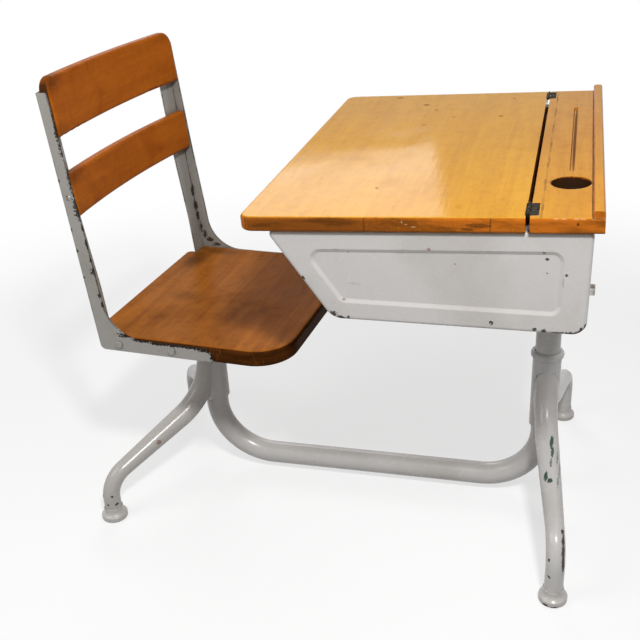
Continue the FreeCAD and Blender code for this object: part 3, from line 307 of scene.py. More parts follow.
    def edges(self, radius: float) -> Tuple[Socket, Socket]:
        """How near a surface is to one of its edges.

        Args:
            radius: how far from the edge counts, in metres.

        Returns:
            A socket that goes from 0 on a flat face to about 1 at a square edge, and one with the
            way that the rounded edge would face, in the piece's own frame.
        """
        round_way = self.rounded(radius)
        flat_way = self.node("NewGeometry").outputs["Normal"]
        turned = self.ramp(self.dot(round_way, flat_way), *EDGE_TURN)
        own = self.node("VectorTransform", {0: round_way}, vector_type="NORMAL",
                        convert_from="WORLD", convert_to="OBJECT")
        return turned, own.outputs[0]

    def marked(self, marks: Iterable[Mark], stain: Stain, ragged: Socket,
               found: Optional[Socket] = None) -> Optional[Socket]:
        """Where the marks of one stain are.

        Args:
            marks: all the surface's marks.
            stain: the one to show.
            ragged: noise that tears their outlines.
            found: the socket of what is there already, which the marks join.

        Returns:
            A socket with 1 on a mark, or None if there is neither a mark nor anything else.
        """
        for mark in marks:
            if mark.stain is not stain:
                continue
            away = self.vector("SUBTRACT", self.place, mark.centre).outputs["Vector"]
            shares = tuple(1 / r for r in mark.reach)
            scaled = self.vector("MULTIPLY", away, shares).outputs["Vector"]
            distance = self.vector("LENGTH", scaled).outputs["Value"]
            here = self.ramp(self.math("ADD", distance, ragged), MARK_RIM, MARK_RIM - mark.soft)
            here = self.math("MULTIPLY", here, mark.strength)
            found = here if found is None else self.math("MAXIMUM", found, here)
        return found

    def torn(self, grain: Socket) -> Socket:
        """Noise spread about 0.5 until it tears the outline of a chip."""
        return self.math("SUBTRACT", self.math("MULTIPLY", grain, TEAR), (TEAR - 1) / 2)

    def bump(self, height: Feed, distance: float, below: Socket) -> Socket:
        """Adds a Bump node.

        Args:
            height: the relief, from 0 to 1.
            distance: its full height in metres.
            below: the normal that it lies on.

        Returns:
            The socket with the new normal.
        """
        feeds = {"Strength": 1.0, "Distance": distance, "Height": height, "Normal": below}
        return self.node("Bump", feeds).outputs["Normal"]

    def surface(self, colour: Feed, roughness: Feed, normal: Socket, metallic: float = 0.0,
                shine: Feed = 0.5, tint: Colour = (1, 1, 1)) -> bpy.types.Material:
        """Closes the tree with its shader.

        Args:
            colour: the base colour.
            roughness: the roughness.
            normal: the normal.
            metallic: how much of the surface is bare metal.
            shine: the level of its plain reflection.
            tint: the colour of that reflection.

        Returns:
            The finished material.
        """
        shader = self.node("BsdfPrincipled", {
            "Base Color": colour, "Roughness": roughness, "Normal": normal, "Metallic": metallic,
            "Specular IOR Level": shine, "Specular Tint": tint})
        self.node("OutputMaterial", {"Surface": shader.outputs[0]})
        return self.material


@dataclass(frozen=True)
class Finish:
    """A surface finish, whose material is made the first time that it is asked for."""

    name: str

    def material(self) -> bpy.types.Material:
        """The finish's material."""
        return bpy.data.materials.get(self.name) or self.make()

    def make(self) -> bpy.types.Material:
        """Builds the finish's material."""
        raise NotImplementedError


@dataclass(frozen=True)
class Enamel(Finish):
    """Old grey enamel on steel: clouded, chipped along its edges and freckled.

    Attributes:
        body: its main colour.
        cloud: the colour of its duller clouds.
        grime_and_shade: the colour of soiling and of painted shade in its corners.
        wear: how strongly its edges are chipped; at 0 they are whole.
        worn_way: the way that the most chipped edges face, or no way.
        gloss: its roughness.
        marks: the marks with places of their own.
    """

    body: Colour = (0.54, 0.522, 0.505)
    cloud: Colour = (0.47, 0.445, 0.42)
    grime_and_shade: Colour = (0.13, 0.10, 0.07)
    wear: float = 0.31
    worn_way: Triple = (0, 0, 0)
    gloss: float = 0.25
    marks: Tuple[Mark, ...] = ()

    def make(self) -> bpy.types.Material:
        """Builds the finish's material.

        Returns:
            The material.
        """
        g = Graph(self.name)
        cloud = g.noise(g.place, 9, 4, 0.55, 0.3)
        mottle = g.noise(g.place, 85, 3, 0.6)
        colour = g.mix(g.ramp(cloud, 0.42, 0.72), self.body, self.cloud)
        colour = g.mix(g.math("MULTIPLY", g.ramp(mottle, 0.52, 0.8), 0.35), colour, self.cloud)

        # Painted shade: ambient occlusion darkens the enamel in corners and crevices, broken up by
        # noise as soiling.
        hollow = g.node("AmbientOcclusion", {"Distance": CORNER_REACH}, samples=6)
        shut = g.ramp(hollow.outputs["AO"], 0.75, 0.2)
        dirt_and_corner_shade = g.math("MULTIPLY", shut, g.ramp(g.noise(g.place, 40, 4), 0.35, 0.62))
        colour = g.mix(g.math("MULTIPLY", dirt_and_corner_shade, 0.55), colour, self.grime_and_shade)

        near_edge, edge_way = g.edges(CHIP_REACH)
        patches = g.noise(g.place, 46, 5, 0.62, 0.5)
        favoured = g.math("MAXIMUM", g.dot(edge_way, self.worn_way), 0.0)
        reach = g.math("MULTIPLY", near_edge, g.math("ADD", favoured, self.wear))
        chipped = g.ramp(g.math("ADD", patches, reach), 0.90, 0.94)
        ragged = g.noise(g.place, 330, 4, 0.6)
        bare = g.math("MAXIMUM", chipped, g.freckles(62, 0.05, 0.07))
        torn = g.torn(ragged)
        bare = g.marked(self.marks, Stain.BARE, torn, bare)
        rust = g.marked(self.marks, Stain.RUST, torn, g.freckles(48, 0.05, 0.06))
        colour = g.mix(g.math("MULTIPLY", rust, 0.75), colour, RUST_BROWN)
        steel = g.mix(g.ramp(ragged, 0.45, 0.68), STEEL_BLACK, STEEL_BROWN)
        colour = g.mix(g.math("MULTIPLY", bare, 0.97), colour, steel)
        scuff = g.marked(self.marks, Stain.SCUFF, g.torn(g.noise(g.place, 210, 5, 0.7, 1.2)))
        if scuff is not None:
            colour = g.mix(scuff, colour, SCUFF_GREEN)

        rough = g.math("ADD", self.gloss - 0.06, g.math("MULTIPLY", mottle, 0.14))
        rough = g.math("MAXIMUM", rough, g.math("MULTIPLY", g.math("MAXIMUM", bare, rust), 0.78))
        normal = g.bump(g.noise(g.place, 240, 2), 0.08 * MM, g.rounded(1.1 * MM))
        normal = g.bump(g.noise(g.place, 32, 2), 0.35 * MM, normal)
        normal = g.bump(g.math("SUBTRACT", 1.0, bare), 0.25 * MM, normal)
        shine = g.math("SUBTRACT", 0.5, g.math("MULTIPLY", bare, 0.48))
        return g.surface(colour, rough, normal, shine=shine)


@dataclass(frozen=True)
class Timber(Finish):
    """Varnished hardwood in glued boards whose grain runs across the desk.

    Attributes:
        light: the colour of its early wood.
        dark: the colour of its late wood.
        edge: the colour of its end grain and edges.
        up: the way its upper face looks.
        boards: width of a board, in metres.
        board_start: where along x one of the joints between boards is.
        turn: how far the grain is turned about z.
        figure: how strong its long streaks are.
        blotch: how strong its dark clouds are.
        edge_dark: how strongly the edges take their own colour.
        end_dark: how strongly the faces that look along the grain take it.
        rubbed: how strongly the sharp edges are rubbed pale, which also paints a highlight along
            them.
        gloss: its roughness.
        shine: the level of its varnish's reflection.
        varnish: the colour that the varnish gives to reflections.
        marks: the marks with places of their own.
    """

    light: Colour = (0.745, 0.366, 0.028)
    dark: Colour = (0.535, 0.218, 0.011)
    edge: Colour = (0.48, 0.125, 0.011)
    up: Triple = (0, 0, 1)
    boards: float = 0.15
    board_start: float = 0.0
    turn: float = 0.0
    figure: float = 0.2
    blotch: float = 0.3
    edge_dark: float = 0.95
    end_dark: float = 0.0
    rubbed: float = 0.45
    gloss: float = 0.085
    shine: float = 0.026
    varnish: Colour = (1.0, 0.95, 0.85)
    marks: Tuple[Mark, ...] = ()

    def make(self) -> bpy.types.Material:
        """Builds the finish's material.

        Returns:
            The material.
        """
        g = Graph(self.name)
        spin = (0, 0, -self.turn)
        along = g.dot(g.stretched((1, 1, 1), spin), (1 / self.boards, 0, 0))
        shifted = g.math("SUBTRACT", along, self.board_start / self.boards)
        number = g.math("FLOOR", shifted)
        share = g.math("FRACT", shifted)
        tone = g.node("TexWhiteNoise", {"W": number}, noise_dimensions="1D")
        joint = g.math("ABSOLUTE", g.math("SUBTRACT", share, 0.5))
        joint = g.ramp(joint, 0.5 - JOINT_HALF_WIDTH / self.boards, 0.5)

        fibre = g.noise(g.stretched(FIBRE_GRAIN, spin), 1, 5, 0.6, 0.3)
        figure = g.noise(g.stretched(FIGURE_GRAIN, spin), 1, 3, 0.5, 1.4)
        pores = g.noise(g.stretched(PORE_GRAIN, spin), 1, 2, 0.5)
        clouds = g.noise(g.place, 8.5, 4, 0.55, 0.6)
        mottle = g.noise(g.place, 55, 3, 0.6, 0.8)

        deep: Feed = 0.0
        for layer, weight in ((g.ramp(figure, 0.35, 0.68), self.figure),
                              (g.ramp(fibre, 0.38, 0.70), 0.20), (tone.outputs["Value"], 0.10),
                              (g.ramp(mottle, 0.42, 0.72), 0.24),
                              (g.ramp(clouds, 0.5, 0.75), self.blotch)):
            deep = g.math("ADD", deep, g.math("MULTIPLY", layer, weight))
        colour = g.mix(deep, self.light, self.dark)
        speck = tuple(c * 0.35 for c in self.dark)
        for layer, weight in ((g.ramp(pores, 0.62, 0.74), 0.35), (joint, 0.05),
                              (g.freckles(38, 0.10, 0.05), 0.5)):
            colour = g.mix(g.math("MULTIPLY", layer, weight), colour, speck)

        lying = g.math("ABSOLUTE", g.dot(g.facing, self.up))
        side = g.math("MULTIPLY", g.ramp(lying, 0.97, 0.75), self.edge_dark)
        end = g.math("ABSOLUTE", g.dot(g.facing, (math.sin(-self.turn), math.cos(self.turn), 0)))
        side = g.math("MAXIMUM", side, g.math("MULTIPLY", g.ramp(end, 0.6, 0.85), self.end_dark))
        smears = g.noise(g.stretched(SMEAR_GRAIN), 1, 4, 0.6, 0.4)
        side_colour = g.mix(g.ramp(smears, 0.42, 0.68), self.edge,
                            tuple(c * 0.5 for c in self.edge))
        side_colour = g.mix(g.math("MULTIPLY", joint, 0.8), side_colour, JOINT_BLACK)
        colour = g.mix(side, colour, side_colour)

        # Sharp edges lightened: partly rubbed wear, partly a painted highlight along the arris.
        near_edge, _ = g.edges(RUB_REACH)
        rubbed_pale_and_highlight = g.math("MULTIPLY", g.ramp(near_edge, 0.15, 0.7),
                      g.ramp(g.noise(g.place, 70, 4, 0.6), 0.50, 0.64))
        colour = g.mix(g.math("MULTIPLY", rubbed_pale_and_highlight, self.rubbed), colour, self.light)

        ragged = g.noise(g.place, 420, 3, 0.6)
        scratches = self.scratches(g)
        colour = g.mix(g.math("MULTIPLY", scratches, 0.22), colour, self.light)
        rough = g.math("ADD", self.gloss - 0.05, g.math("MULTIPLY", g.ramp(clouds, 0.3, 0.7), 0.1))
        rough = g.math("ADD", rough, g.math("MULTIPLY", scratches, 0.15))
        normal = g.bump(fibre, 0.10 * MM, g.rounded(1.2 * MM))
        normal = g.bump(g.math("SUBTRACT", 1.0, scratches), 0.12 * MM, normal)
        for stain, stain_colour in WOOD_STAINS.items():
            found = g.marked(self.marks, stain, ragged)
            if found is not None:
                colour = g.mix(found, colour, stain_colour)
                rough = g.math("MAXIMUM", rough, g.math("MULTIPLY", found, 0.75))
                normal = g.bump(g.math("SUBTRACT", 1.0, found), 0.1 * MM, normal)
        return g.surface(colour, rough, normal, shine=self.shine, tint=self.varnish)

    def scratches(self, g: Graph) -> Socket:
        """Fine scratches at a few slants.

        Args:
            g: the tree that they are added to.

        Returns:
            The socket with 1 in a scratch.
        """
        found: Optional[Socket] = None
        for slant, seed in SCRATCH_SLANTS:
            lines = g.noise(g.stretched(SCRATCH_GRAIN, (seed, 0, slant)), 1, 1, 0.4)
            here = g.ramp(lines, 0.735, 0.765)
            found = here if found is None else g.math("MAXIMUM", found, here)
        return found


@dataclass(frozen=True)
class Metal(Finish):
    """Plain metal, dulled and handled.

    Attributes:
        bright: its colour where it is rubbed.
        dull: its colour where it is tarnished.
        gloss: its roughness.
        metallic: how much of it is bare metal.
        shine: the level of its plain reflection.
    """

    bright: Colour = (0.46, 0.44, 0.41)
    dull: Colour = (0.10, 0.075, 0.055)
    gloss: float = 0.38
    metallic: float = 0.8
    shine: float = 0.5

    def make(self) -> bpy.types.Material:
        """Builds the finish's material.

        Returns:
            The material.
        """
        g = Graph(self.name)
        tarnish = g.noise(g.place, 160, 5, 0.65, 0.4)
        near_edge, _ = g.edges(1.0 * MM)
        rubbed = g.math("ADD", g.ramp(tarnish, 0.62, 0.38), g.math("MULTIPLY", near_edge, 0.4))
        colour = g.mix(g.math("MINIMUM", rubbed, 1.0), self.dull, self.bright)
        rough = g.math("ADD", self.gloss, g.math("MULTIPLY", g.ramp(tarnish, 0.4, 0.7), 0.3))
        normal = g.bump(g.noise(g.place, 700, 2), 0.04 * MM, g.rounded(0.5 * MM))
        normal = g.bump(tarnish, 0.08 * MM, normal)
        return g.surface(colour, rough, normal, metallic=self.metallic, shine=self.shine)


def dress(finish: Finish, nodes: Sequence[str]) -> None:
    """Gives the finish to nodes of the frame.

    Args:
        finish: what they are finished in.
        nodes: their names.
    """
    for name in nodes:
        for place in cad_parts[name].material_slots:
            place.material = finish.material()
        LOG.info("%s finished in %s", name, finish.name)


def add_piece(name: str, shape: bmesh.types.BMesh, finish: Finish, body: str) -> bpy.types.Object:
    """Makes a new piece that moves with a body.

    Args:
        name: the piece's name.
        shape: its mesh, in the frame.
        finish: what it is finished in.
        body: the body that it rides on.

    Returns:
        The new object.
    """
    mesh = bpy.data.meshes.new(name)
    shape.to_mesh(mesh)
    shape.free()
    mesh.polygons.foreach_set("use_smooth", [True] * len(mesh.polygons))
    mesh.materials.append(finish.material())
    made = bpy.data.objects.new(name, mesh)
    bpy.context.scene.collection.objects.link(made)
    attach(made, body)
    LOG.info("%s built on %s", name, body)
    return made


FRAME_ENAMEL = Enamel("grey_enamel")
HINGE_STEEL = Metal("hinge_steel", bright=(0.042, 0.032, 0.022), dull=(0.012, 0.009, 0.006),
                    gloss=0.5, metallic=0.1, shine=0.03)
BOLT_STEEL = Metal("bolt_steel", bright=(0.52, 0.51, 0.50), metallic=0.7)


@dataclass
class Pedestal:
    """The standing frame: tube, sockets, legs and feet, with the brazed fillets at the leg roots.

    Attributes:
        braze_on_leg: how far a fillet runs up the leg, in metres.
        braze_on_socket: how far it runs over the socket, in metres.
        braze_sink: how far its edges lie below the surfaces, in metres.
        root_sink: how far its inner edge lies below the leg's root, in metres.
        probe: how far out from the root the leg's slant is read, in metres.
        root_steps: points round the root of a leg.
        arc_steps: points across a fillet.
    """

    braze_on_leg: float = 10 * MM
    braze_on_socket: float = 8 * MM
    braze_sink: float = 0.25 * MM
    root_sink: float = 1 * MM
    probe: float = 2 * MM
    root_steps: int = 96
    arc_steps: int = 8
    finish: Enamel = FRAME_ENAMEL
    braze_finish: Enamel = Enamel("braze_enamel", wear=0.0)
    near_leg_finish: Enamel = Enamel("scuffed_enamel", marks=mark_rows(
        Stain.SCUFF,
        (346, -88, 165, 3.0, 15, 8, 1.0), (348, -106, 158, 2.4, 13, 7, 0.95),
        (347, -126, 151, 2.0, 10, 7, 0.7), (341, -148, 142, 3.2, 10, 7, 0.95),
        (347, -156, 141, 5.0, 4.5, 6, 0.95), (356, -111, 152, 1.6, 16, 6, 0.6),
        (360, -128, 142, 1.4, 22, 7, 0.6), (359, -152, 138, 1.4, 14, 6, 0.6),
    ) + mark_rows(
        Stain.BARE,
        (370, -232, 110, 2.4, 5, 5), (372, -243, 101, 2.0, 10, 9), (373, -251, 91, 2.4, 8, 11),
        (373.5, -256, 81, 2.0, 7, 12), (374, -259, 70, 2.4, 6, 13), (354, -259, 78, 2, 5, 2.2),
        (356, -264, 51, 2, 5, 2.6),
    ))
    # A darker copy of the grey enamel: painted shade on the near seat leg; its chips and rust are
    # wear.
    shaded_seat_leg_finish: Enamel = Enamel(
        "shaded_freckled_enamel", body=(0.455, 0.432, 0.402), marks=mark_rows(
            Stain.BARE,
            (-354, -196, 32, 2, 6, 2.6), (-358, -199, 49, 2, 6, 2.6), (-375, -199, 48, 2, 8, 2.4),
            (-367, -203, 32, 2.4, 8, 2.2),
        ) + mark_rows(Stain.RUST, (-300, -119, 111, 4, 7, 4)))
    foot_finish: Enamel = Enamel(
        "foot_enamel", body=(0.51, 0.492, 0.465), wear=0.34, marks=mark_rows(
            Stain.BARE,
            (352, -271, 3, 7, 5, 2.4), (366, -273, 2, 5, 5, 2.0), (-384, -198, 4, 3, 5, 2.4)))
    screw_finish: Metal = Metal("lock_screw_steel")

    def dress(self) -> None:
        """Finishes the frame's own pieces."""
        dress(self.finish, ["base_tube", "desk_socket", "seat_socket", "desk_leg_left",
                            "seat_leg_left"])
        dress(self.near_leg_finish, ["desk_leg_right"])
        dress(self.shaded_seat_leg_finish, ["seat_leg_right"])
        dress(self.foot_finish, ["desk_foot_left", "desk_foot_right", "seat_foot_left",
                                 "seat_foot_right"])
        dress(self.screw_finish, ["desk_lock_screw", "seat_lock_screw"])

    def build(self) -> None:
        """Lays a brazed fillet round the root of each leg."""
        low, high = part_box("seat_socket")
        radius = (high.y - low.y) / 2
        for end in ("desk", "seat"):
            low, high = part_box(f"{end}_socket")
            axis = (low + high) / 2
            for side, way in (("left", 1), ("right", -1)):
                root = LegRoot(f"{end}_leg_{side}", axis, radius, way)
                self.braze(f"{end}_braze_{side}", root)

    def braze(self, name: str, root: "LegRoot") -> None:
        """Sweeps one fillet along the line where a leg meets its socket.

        Args:
            name: the fillet's name.
            root: where the leg meets the socket.
        """
        line = root.line(self.root_steps)
        count = len(line)
        skin = root.skin()
        shape = bmesh.new()
        rings = []
        for step, flat in enumerate(line):
            ahead = line[(step + 1) % count] - line[step - 1]
            outward = Vector((ahead.y, -ahead.x)).normalized()
            point = root.on_socket(flat)
            out = root.outward(point)
            along = root.on_socket(line[(step + 1) % count]) - root.on_socket(line[step - 1])
            _, facing, _, _ = skin.find_nearest(point + self.probe * out)
            climb = facing.cross(along).normalized()
            climb = climb if climb.dot(out) > 0 else -climb
            upper, facing, _, _ = skin.find_nearest(point + self.braze_on_leg * climb)
            upper = upper - self.braze_sink * facing
            lower = root.on_socket(flat + self.braze_on_socket * outward, -self.braze_sink)
            ring = []
            for number in range(self.arc_steps + 1):
                share = number / self.arc_steps
                ring.append((1 - share) ** 2 * upper + 2 * share * (1 - share) * point
                            + share ** 2 * lower)
            ring.append(point - self.root_sink * out)
            rings.append([shape.verts.new(place) for place in ring])
        for step, ring in enumerate(rings):
            following = rings[(step + 1) % count]
            for number in range(len(ring)):
                after = (number + 1) % len(ring)
                shape.faces.new((ring[number], following[number], following[after], ring[after]))
        bmesh.ops.recalc_face_normals(shape, faces=shape.faces)
        add_piece(name, shape, self.braze_finish, "base")


@dataclass
class LegRoot:
    """The closed line where a leg meets its socket, laid out flat round the socket.

    Attributes:
        leg: the leg's node.
        axis: a point on the socket's upright axis.
        radius: the socket's outer radius.
        way: 1 for a leg on the +y side, and -1 for one on the other.
        slack: how far off the socket a point of the line may be, in metres.
        sector: the angle to each side of a point that is searched for the line.
    """

    leg: str
    axis: Vector
    radius: float
    way: int
    slack: float = 0.06 * MM
    sector: float = math.pi / 16

    def on_socket(self, flat: Vector, proud: float = 0.0) -> Vector:
        """A place on the socket.

        Args:
            flat: how far round the socket and how far above the axis point, in metres.
            proud: how far outside the socket, in metres.

        Returns:
            The place in the frame.
        """
        angle = flat.x / self.radius
        reach = self.radius + proud
        return self.axis + Vector((reach * math.sin(angle),
                                   self.way * reach * math.cos(angle), flat.y))

    def outward(self, point: Vector) -> Vector:
        """The way straight out from the socket's axis at a point."""
        return Vector((point.x - self.axis.x, point.y - self.axis.y, 0)).normalized()

    def skin(self) -> BVHTree:
        """The leg's surface.

        Returns:
            A tree to look up the nearest place on it.
        """
        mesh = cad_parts[self.leg].data
        return BVHTree.FromPolygons([v.co for v in mesh.vertices],
                                    [tuple(p.vertices) for p in mesh.polygons])

    def line(self, steps: int) -> List[Vector]:
        """The root's line.

        Args:
            steps: how many points it has.

        Returns:
            Points round the line, anticlockwise as seen from outside the socket or its mirror.
        """
        flat: List[Vector] = []
        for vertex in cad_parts[self.leg].data.vertices:
            away = vertex.co - self.axis
            if abs(math.hypot(away.x, away.y) - self.radius) < self.slack:
                flat.append(Vector((self.radius * math.atan2(away.x, away.y * self.way), away.z)))
        middle = sum(flat, Vector((0, 0))) / len(flat)
        polar = [(math.atan2(p.y - middle.y, p.x - middle.x), (p - middle).length) for p in flat]
        outer: List[float] = []
        for step in range(steps):
            angle = 2 * math.pi * step / steps
            outer.append(max(reach for a, reach in polar
                             if math.cos(a - angle) > math.cos(self.sector)))
        window = range(-2, 3)
        even = [sum(outer[(step + k) % steps] for k in window) / len(window)
                for step in range(steps)]
        return [middle + reach * Vector((math.cos(2 * math.pi * step / steps),
                                         math.sin(2 * math.pi * step / steps)))
                for step, reach in enumerate(even)]


def panel_marks() -> Tuple[Mark, ...]:
    """The rust and the chips on the near side panel, most of all along its bottom rim.

    Returns:
        The marks.
    """
    face, rim, deep = -298, -297, 6
    rust = ((186, 563, 2.6), (87, 553, 1.6), (217, 545, 1.6), (321, 566, 2.4), (79, 489, 2.2))
    chips = ((325, 557, 2.2), (325, 540, 1.5), (348, 539, 1.7), (263, 471, 2.6), (28, 516, 2.6),
             (84, 465, 2.6), (326, 464.2, 3.4), (315, 466, 2.6))
    rim_chips = ((360, 463.6, 11, 2.2), (369.5, 465.5, 5, 3.2), (374.5, 470.5, 3, 6),
                 (370, 469.5, 1.8, 3.6), (344, 463, 9, 1.6), (66, 469, 5, 4), (74, 464, 6, 2.4))
    return (mark_rows(Stain.RUST, (91.4, face, 511.6, 9, deep, 3, 0.25),
                      *((x, face, z, size, deep, size) for x, z, size in rust))
            + mark_rows(Stain.BARE, *((x, face, z, size, deep, size) for x, z, size in chips),
                        *((x, rim, z, long, deep, high) for x, z, long, high in rim_chips)))


def on_top(along: float, across: float, above: float = 0.0) -> Vector:
    """A place on the desk's top.

    Args:
        along: how far behind the lid's back edge, up the slope, in metres.
        across: its place along y, in metres.
        above: how far above the top's face, in metres.

    Returns:
        The place in the frame.
    """
    _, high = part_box("lid_board")
    return Vector((high.x, across, high.z)) + along * TOP_ALONG + above * TOP_UP


def chipped_row(first: Vector, last: Vector, count: int, size: float) -> List[Mark]:
    """A row of small pale chips along an edge.

    Args:
        first: where the row starts.
        last: where it ends.
        count: how many chips it has.
        size: the usual half width of a chip, in metres.

    Returns:
        The marks.
    """
    marks: List[Mark] = []
    for step in range(count):
        share = (step + 0.5 + 0.35 * math.sin(5.1 * step)) / count
        grown = size * (0.9 + 0.5 * math.sin(3.3 * step + 1))
        marks.append(Mark(Stain.PALE, tuple(first.lerp(last, share)),
                          (2.2 * grown, grown, 0.7 * grown), 0.38))
    return marks


def rail_marks() -> Tuple[Mark, ...]:
    """The rail's painted shade down its ink well, its groove darkened as soiling and painted
    shade, its pale chips and the soiled line along its seams.

    Returns:
        The marks.
    """
    half, low_edge = HALF_TOP, -0.019
    well, groove, leaf_line, ledge_line = 0.0483, 0.048, 0.0165, 0.0742
    well_across, groove_across = -0.179, 0.0295
    # Painted shade: near-black layers down the ink well's walls make the hole read dark.
    well_shade_layers = ((0.0036, 0.0036), (0.0066, 0.006), (0.011, 0.009), (0.016, 0.009))
    marks = [
        *(Mark(Stain.BARE, tuple(on_top(well, well_across, -depth)),
               (40 * MM, 40 * MM, thick), 0.98) for depth, thick in well_shade_layers),
        # The groove's floor is darkened as soiling and as painted shade, so it reads as one dark
        # line with its shaded walls.
        Mark(Stain.BARE, tuple(on_top(groove, groove_across, -0.0018)),
             (1.7 * MM, 0.19, 2.6 * MM), 0.75),
        Mark(Stain.RUST, tuple(on_top(groove, groove_across)), (4.0 * MM, 0.20, 3 * MM), 0.25),
        Mark(Stain.BARE, tuple(on_top(ledge_line, 0)), (1.3 * MM, 1.6 * half, 2 * MM), 0.8),
        *chipped_row(on_top(0.030, -half), on_top(0.088, -half), 11, 1.7 * MM),
        *chipped_row(on_top(0.006, -half, low_edge), on_top(0.036, -half, low_edge), 6, 1.7 * MM),
        Mark(Stain.PALE, tuple(on_top(0.050, -0.2035)), (8 * MM, 1.2 * MM, 1.4 * MM), 0.6),
        Mark(Stain.BARE, tuple(on_top(0.0575, -half, -0.007)), (1.6 * MM, 3 * MM, 2 * MM), 0.8),
    ]
    steps = 26
    for step in range(steps):
        across = half * (2 * (step + 0.5) / steps - 1)
        sway = 0.4 * MM * math.sin(2.3 * step)
        strength = 0.32 + 0.2 * math.sin(1.7 * step)
        marks.append(Mark(Stain.RUST, tuple(on_top(leaf_line + sway, across)),
                          (1.9 * MM, half / steps * 1.3, 2 * MM), strength))
    return tuple(marks)


@dataclass
class BookBox:
    """The book box on its post, with its fixed rail, hinges and bolts."""

    finish: Enamel = FRAME_ENAMEL
    near_panel_finish: Enamel = Enamel("panel_enamel", marks=panel_marks())
    rail_finish: Timber = Timber("rail_maple", light=(0.69, 0.312, 0.026),
                                 dark=(0.485, 0.184, 0.010), up=tuple(TOP_UP), boards=0.2,
                                 board_start=0.25, blotch=0.35, marks=rail_marks())
    leaf_finish: Metal = HINGE_STEEL
    bolt_finish: Metal = BOLT_STEEL

    def dress(self) -> None:
        """Finishes the box, its rail and its hardware."""
        dress(self.finish, ["desk_post", "box_bracket", "box_front", "box_bottom", "box_back",
                            "side_panel_left"])
        dress(self.near_panel_finish, ["side_panel_right"])
        dress(self.rail_finish, ["top_rail", "rear_ledge"])
        dress(self.leaf_finish, ["hinge_leaf_left", "hinge_leaf_right", "hinge_pin_left",
                                 "hinge_pin_right", "hinge_screws", "rail_screws"])
        dress(self.bolt_finish, ["bracket_bolts", "bracket_nuts", "rear_bolts", "rear_nuts"])


def lid_marks() -> Tuple[Mark, ...]:
    """The bark flecks in the lid's upper face, and the dark and chipped places of its near edge.

    Returns:
        The marks.
    """
    flecks = ((251, 284, 6.5), (197, 230, 6.0), (175, 195, 4.0), (141, 148, 3.0), (182, 104, 3.5),
              (67, 148, 4.5), (54, 259, 3.0), (195, -197, 3.0))
    edge = ((Stain.BARE, 35, 9.5, 270, 40, 0.60, 0.9), (Stain.PALE, 155, 5, 0.9, 2, 0.45),
            (Stain.PALE, 160, 8, 2.2, 0.8, 0.45), (Stain.PALE, 169, 11, 3.4, 0.8, 0.5),
            (Stain.BARE, 245, 9, 16, 3, 0.6), (Stain.BARE, 232, 14, 9, 2, 0.6),
            (Stain.BARE, 120, 12, 14, 2, 0.4))
    marks: List[Mark] = []
    for ahead, across, length in flecks:
        marks.append(Mark(Stain.RUST, tuple(on_top(-ahead * MM, across * MM)),
                          (length * MM, 0.8 * length * MM, 3 * MM), 0.75))
    for stain, x, below, long, high, *cover in edge:
        corner = on_top(0.0, -HALF_TOP, -below * MM)
        height = corner.z + (x * MM - corner.x) * math.tan(TOP_SLOPE)
        reach = (long * MM, 3 * MM, high * MM)
        marks.append(Mark(stain, (x * MM, corner.y, height), reach, *cover))
    return tuple(marks)


@dataclass
class Lid:
    """The lifting lid with its hinge leaves."""

    finish: Timber = Timber("lid_maple", up=tuple(TOP_UP), boards=0.149, board_start=0.1093,
                            marks=lid_marks())
    leaf_finish: Metal = HINGE_STEEL

    def dress(self) -> None:
        """Finishes the board and its hardware."""
        dress(self.finish, ["lid_board"])
        dress(self.leaf_finish, ["lid_leaf_left", "lid_leaf_right", "lid_leaf_screws"])


@dataclass
class SeatStem:
    """The seat's post and the washer that the seat turns on."""

    finish: Enamel = FRAME_ENAMEL
    washer_finish: Metal = Metal("washer_brass", bright=(0.62, 0.43, 0.16), dull=(0.2, 0.12, 0.04))

    def dress(self) -> None:
        """Finishes the post and the washer."""
        dress(self.finish, ["seat_post"])
        dress(self.washer_finish, ["thrust_washer"])


def upright_chips() -> Tuple[Mark, ...]:
    """The chips along the uprights' edges and along the near seat flange.

    Returns:
        The marks.
    """
    near, far, deep, flange_y = -176.5, 188.5, 6, -186
    front_x, front_z, front_lean = -337.4, 543.3, 0.09
    back_x, back_z, back_lean = -356.7, 542.9, 0.085
    front = ((670, 40, 4.5), (591, 21, 6.0), (548, 19, 7.5), (515.5, 5, 4.0), (491.5, 8, 4.0),
             (467, 4, 4.0), (449, 7, 6.5), (410.5, 5.5, 4.5), (395.5, 4, 4.0))
    flange = ((-299.6, 352), (-279.1, 342.7), (-253.8, 341), (-227, 341), (-203.8, 341),
              (-180, 341), (-163.8, 340), (-156, 334.5))
    far_chips = ((-318.4, 449.3, 2.4, 12), (-316.1, 420.9, 3.6, 11), (-314.5, 401.7, 2.6, 10),
                 (-311.1, 380.6, 2.6, 12), (-304.9, 365.4, 4.0, 9), (-296.0, 355.5, 7.0, 5),
                 (-283.0, 347.0, 9.0, 4))
    back = (586, 513, 480, 438)
    rows = [(front_x - front_lean * (z - front_z), near, z, wide, deep, 1.15 * tall)
            for z, tall, wide in front]
    rows += [(back_x - back_lean * (z - back_z), near, z, 2.2, deep, 2.6) for z in back]
    rows += [((start[0] + end[0]) / 2, flange_y, (start[1] + end[1]) / 2, 19, 12, 4.2, 1.0)
             for start, end in zip(flange, flange[1:])]
    rows += [(-153, -191, 328, 3.2, 8, 10, 1.0)]
    rows += [(x, far, z, wide, deep, tall) for x, z, wide, tall in far_chips]
    return mark_rows(Stain.BARE, *rows)


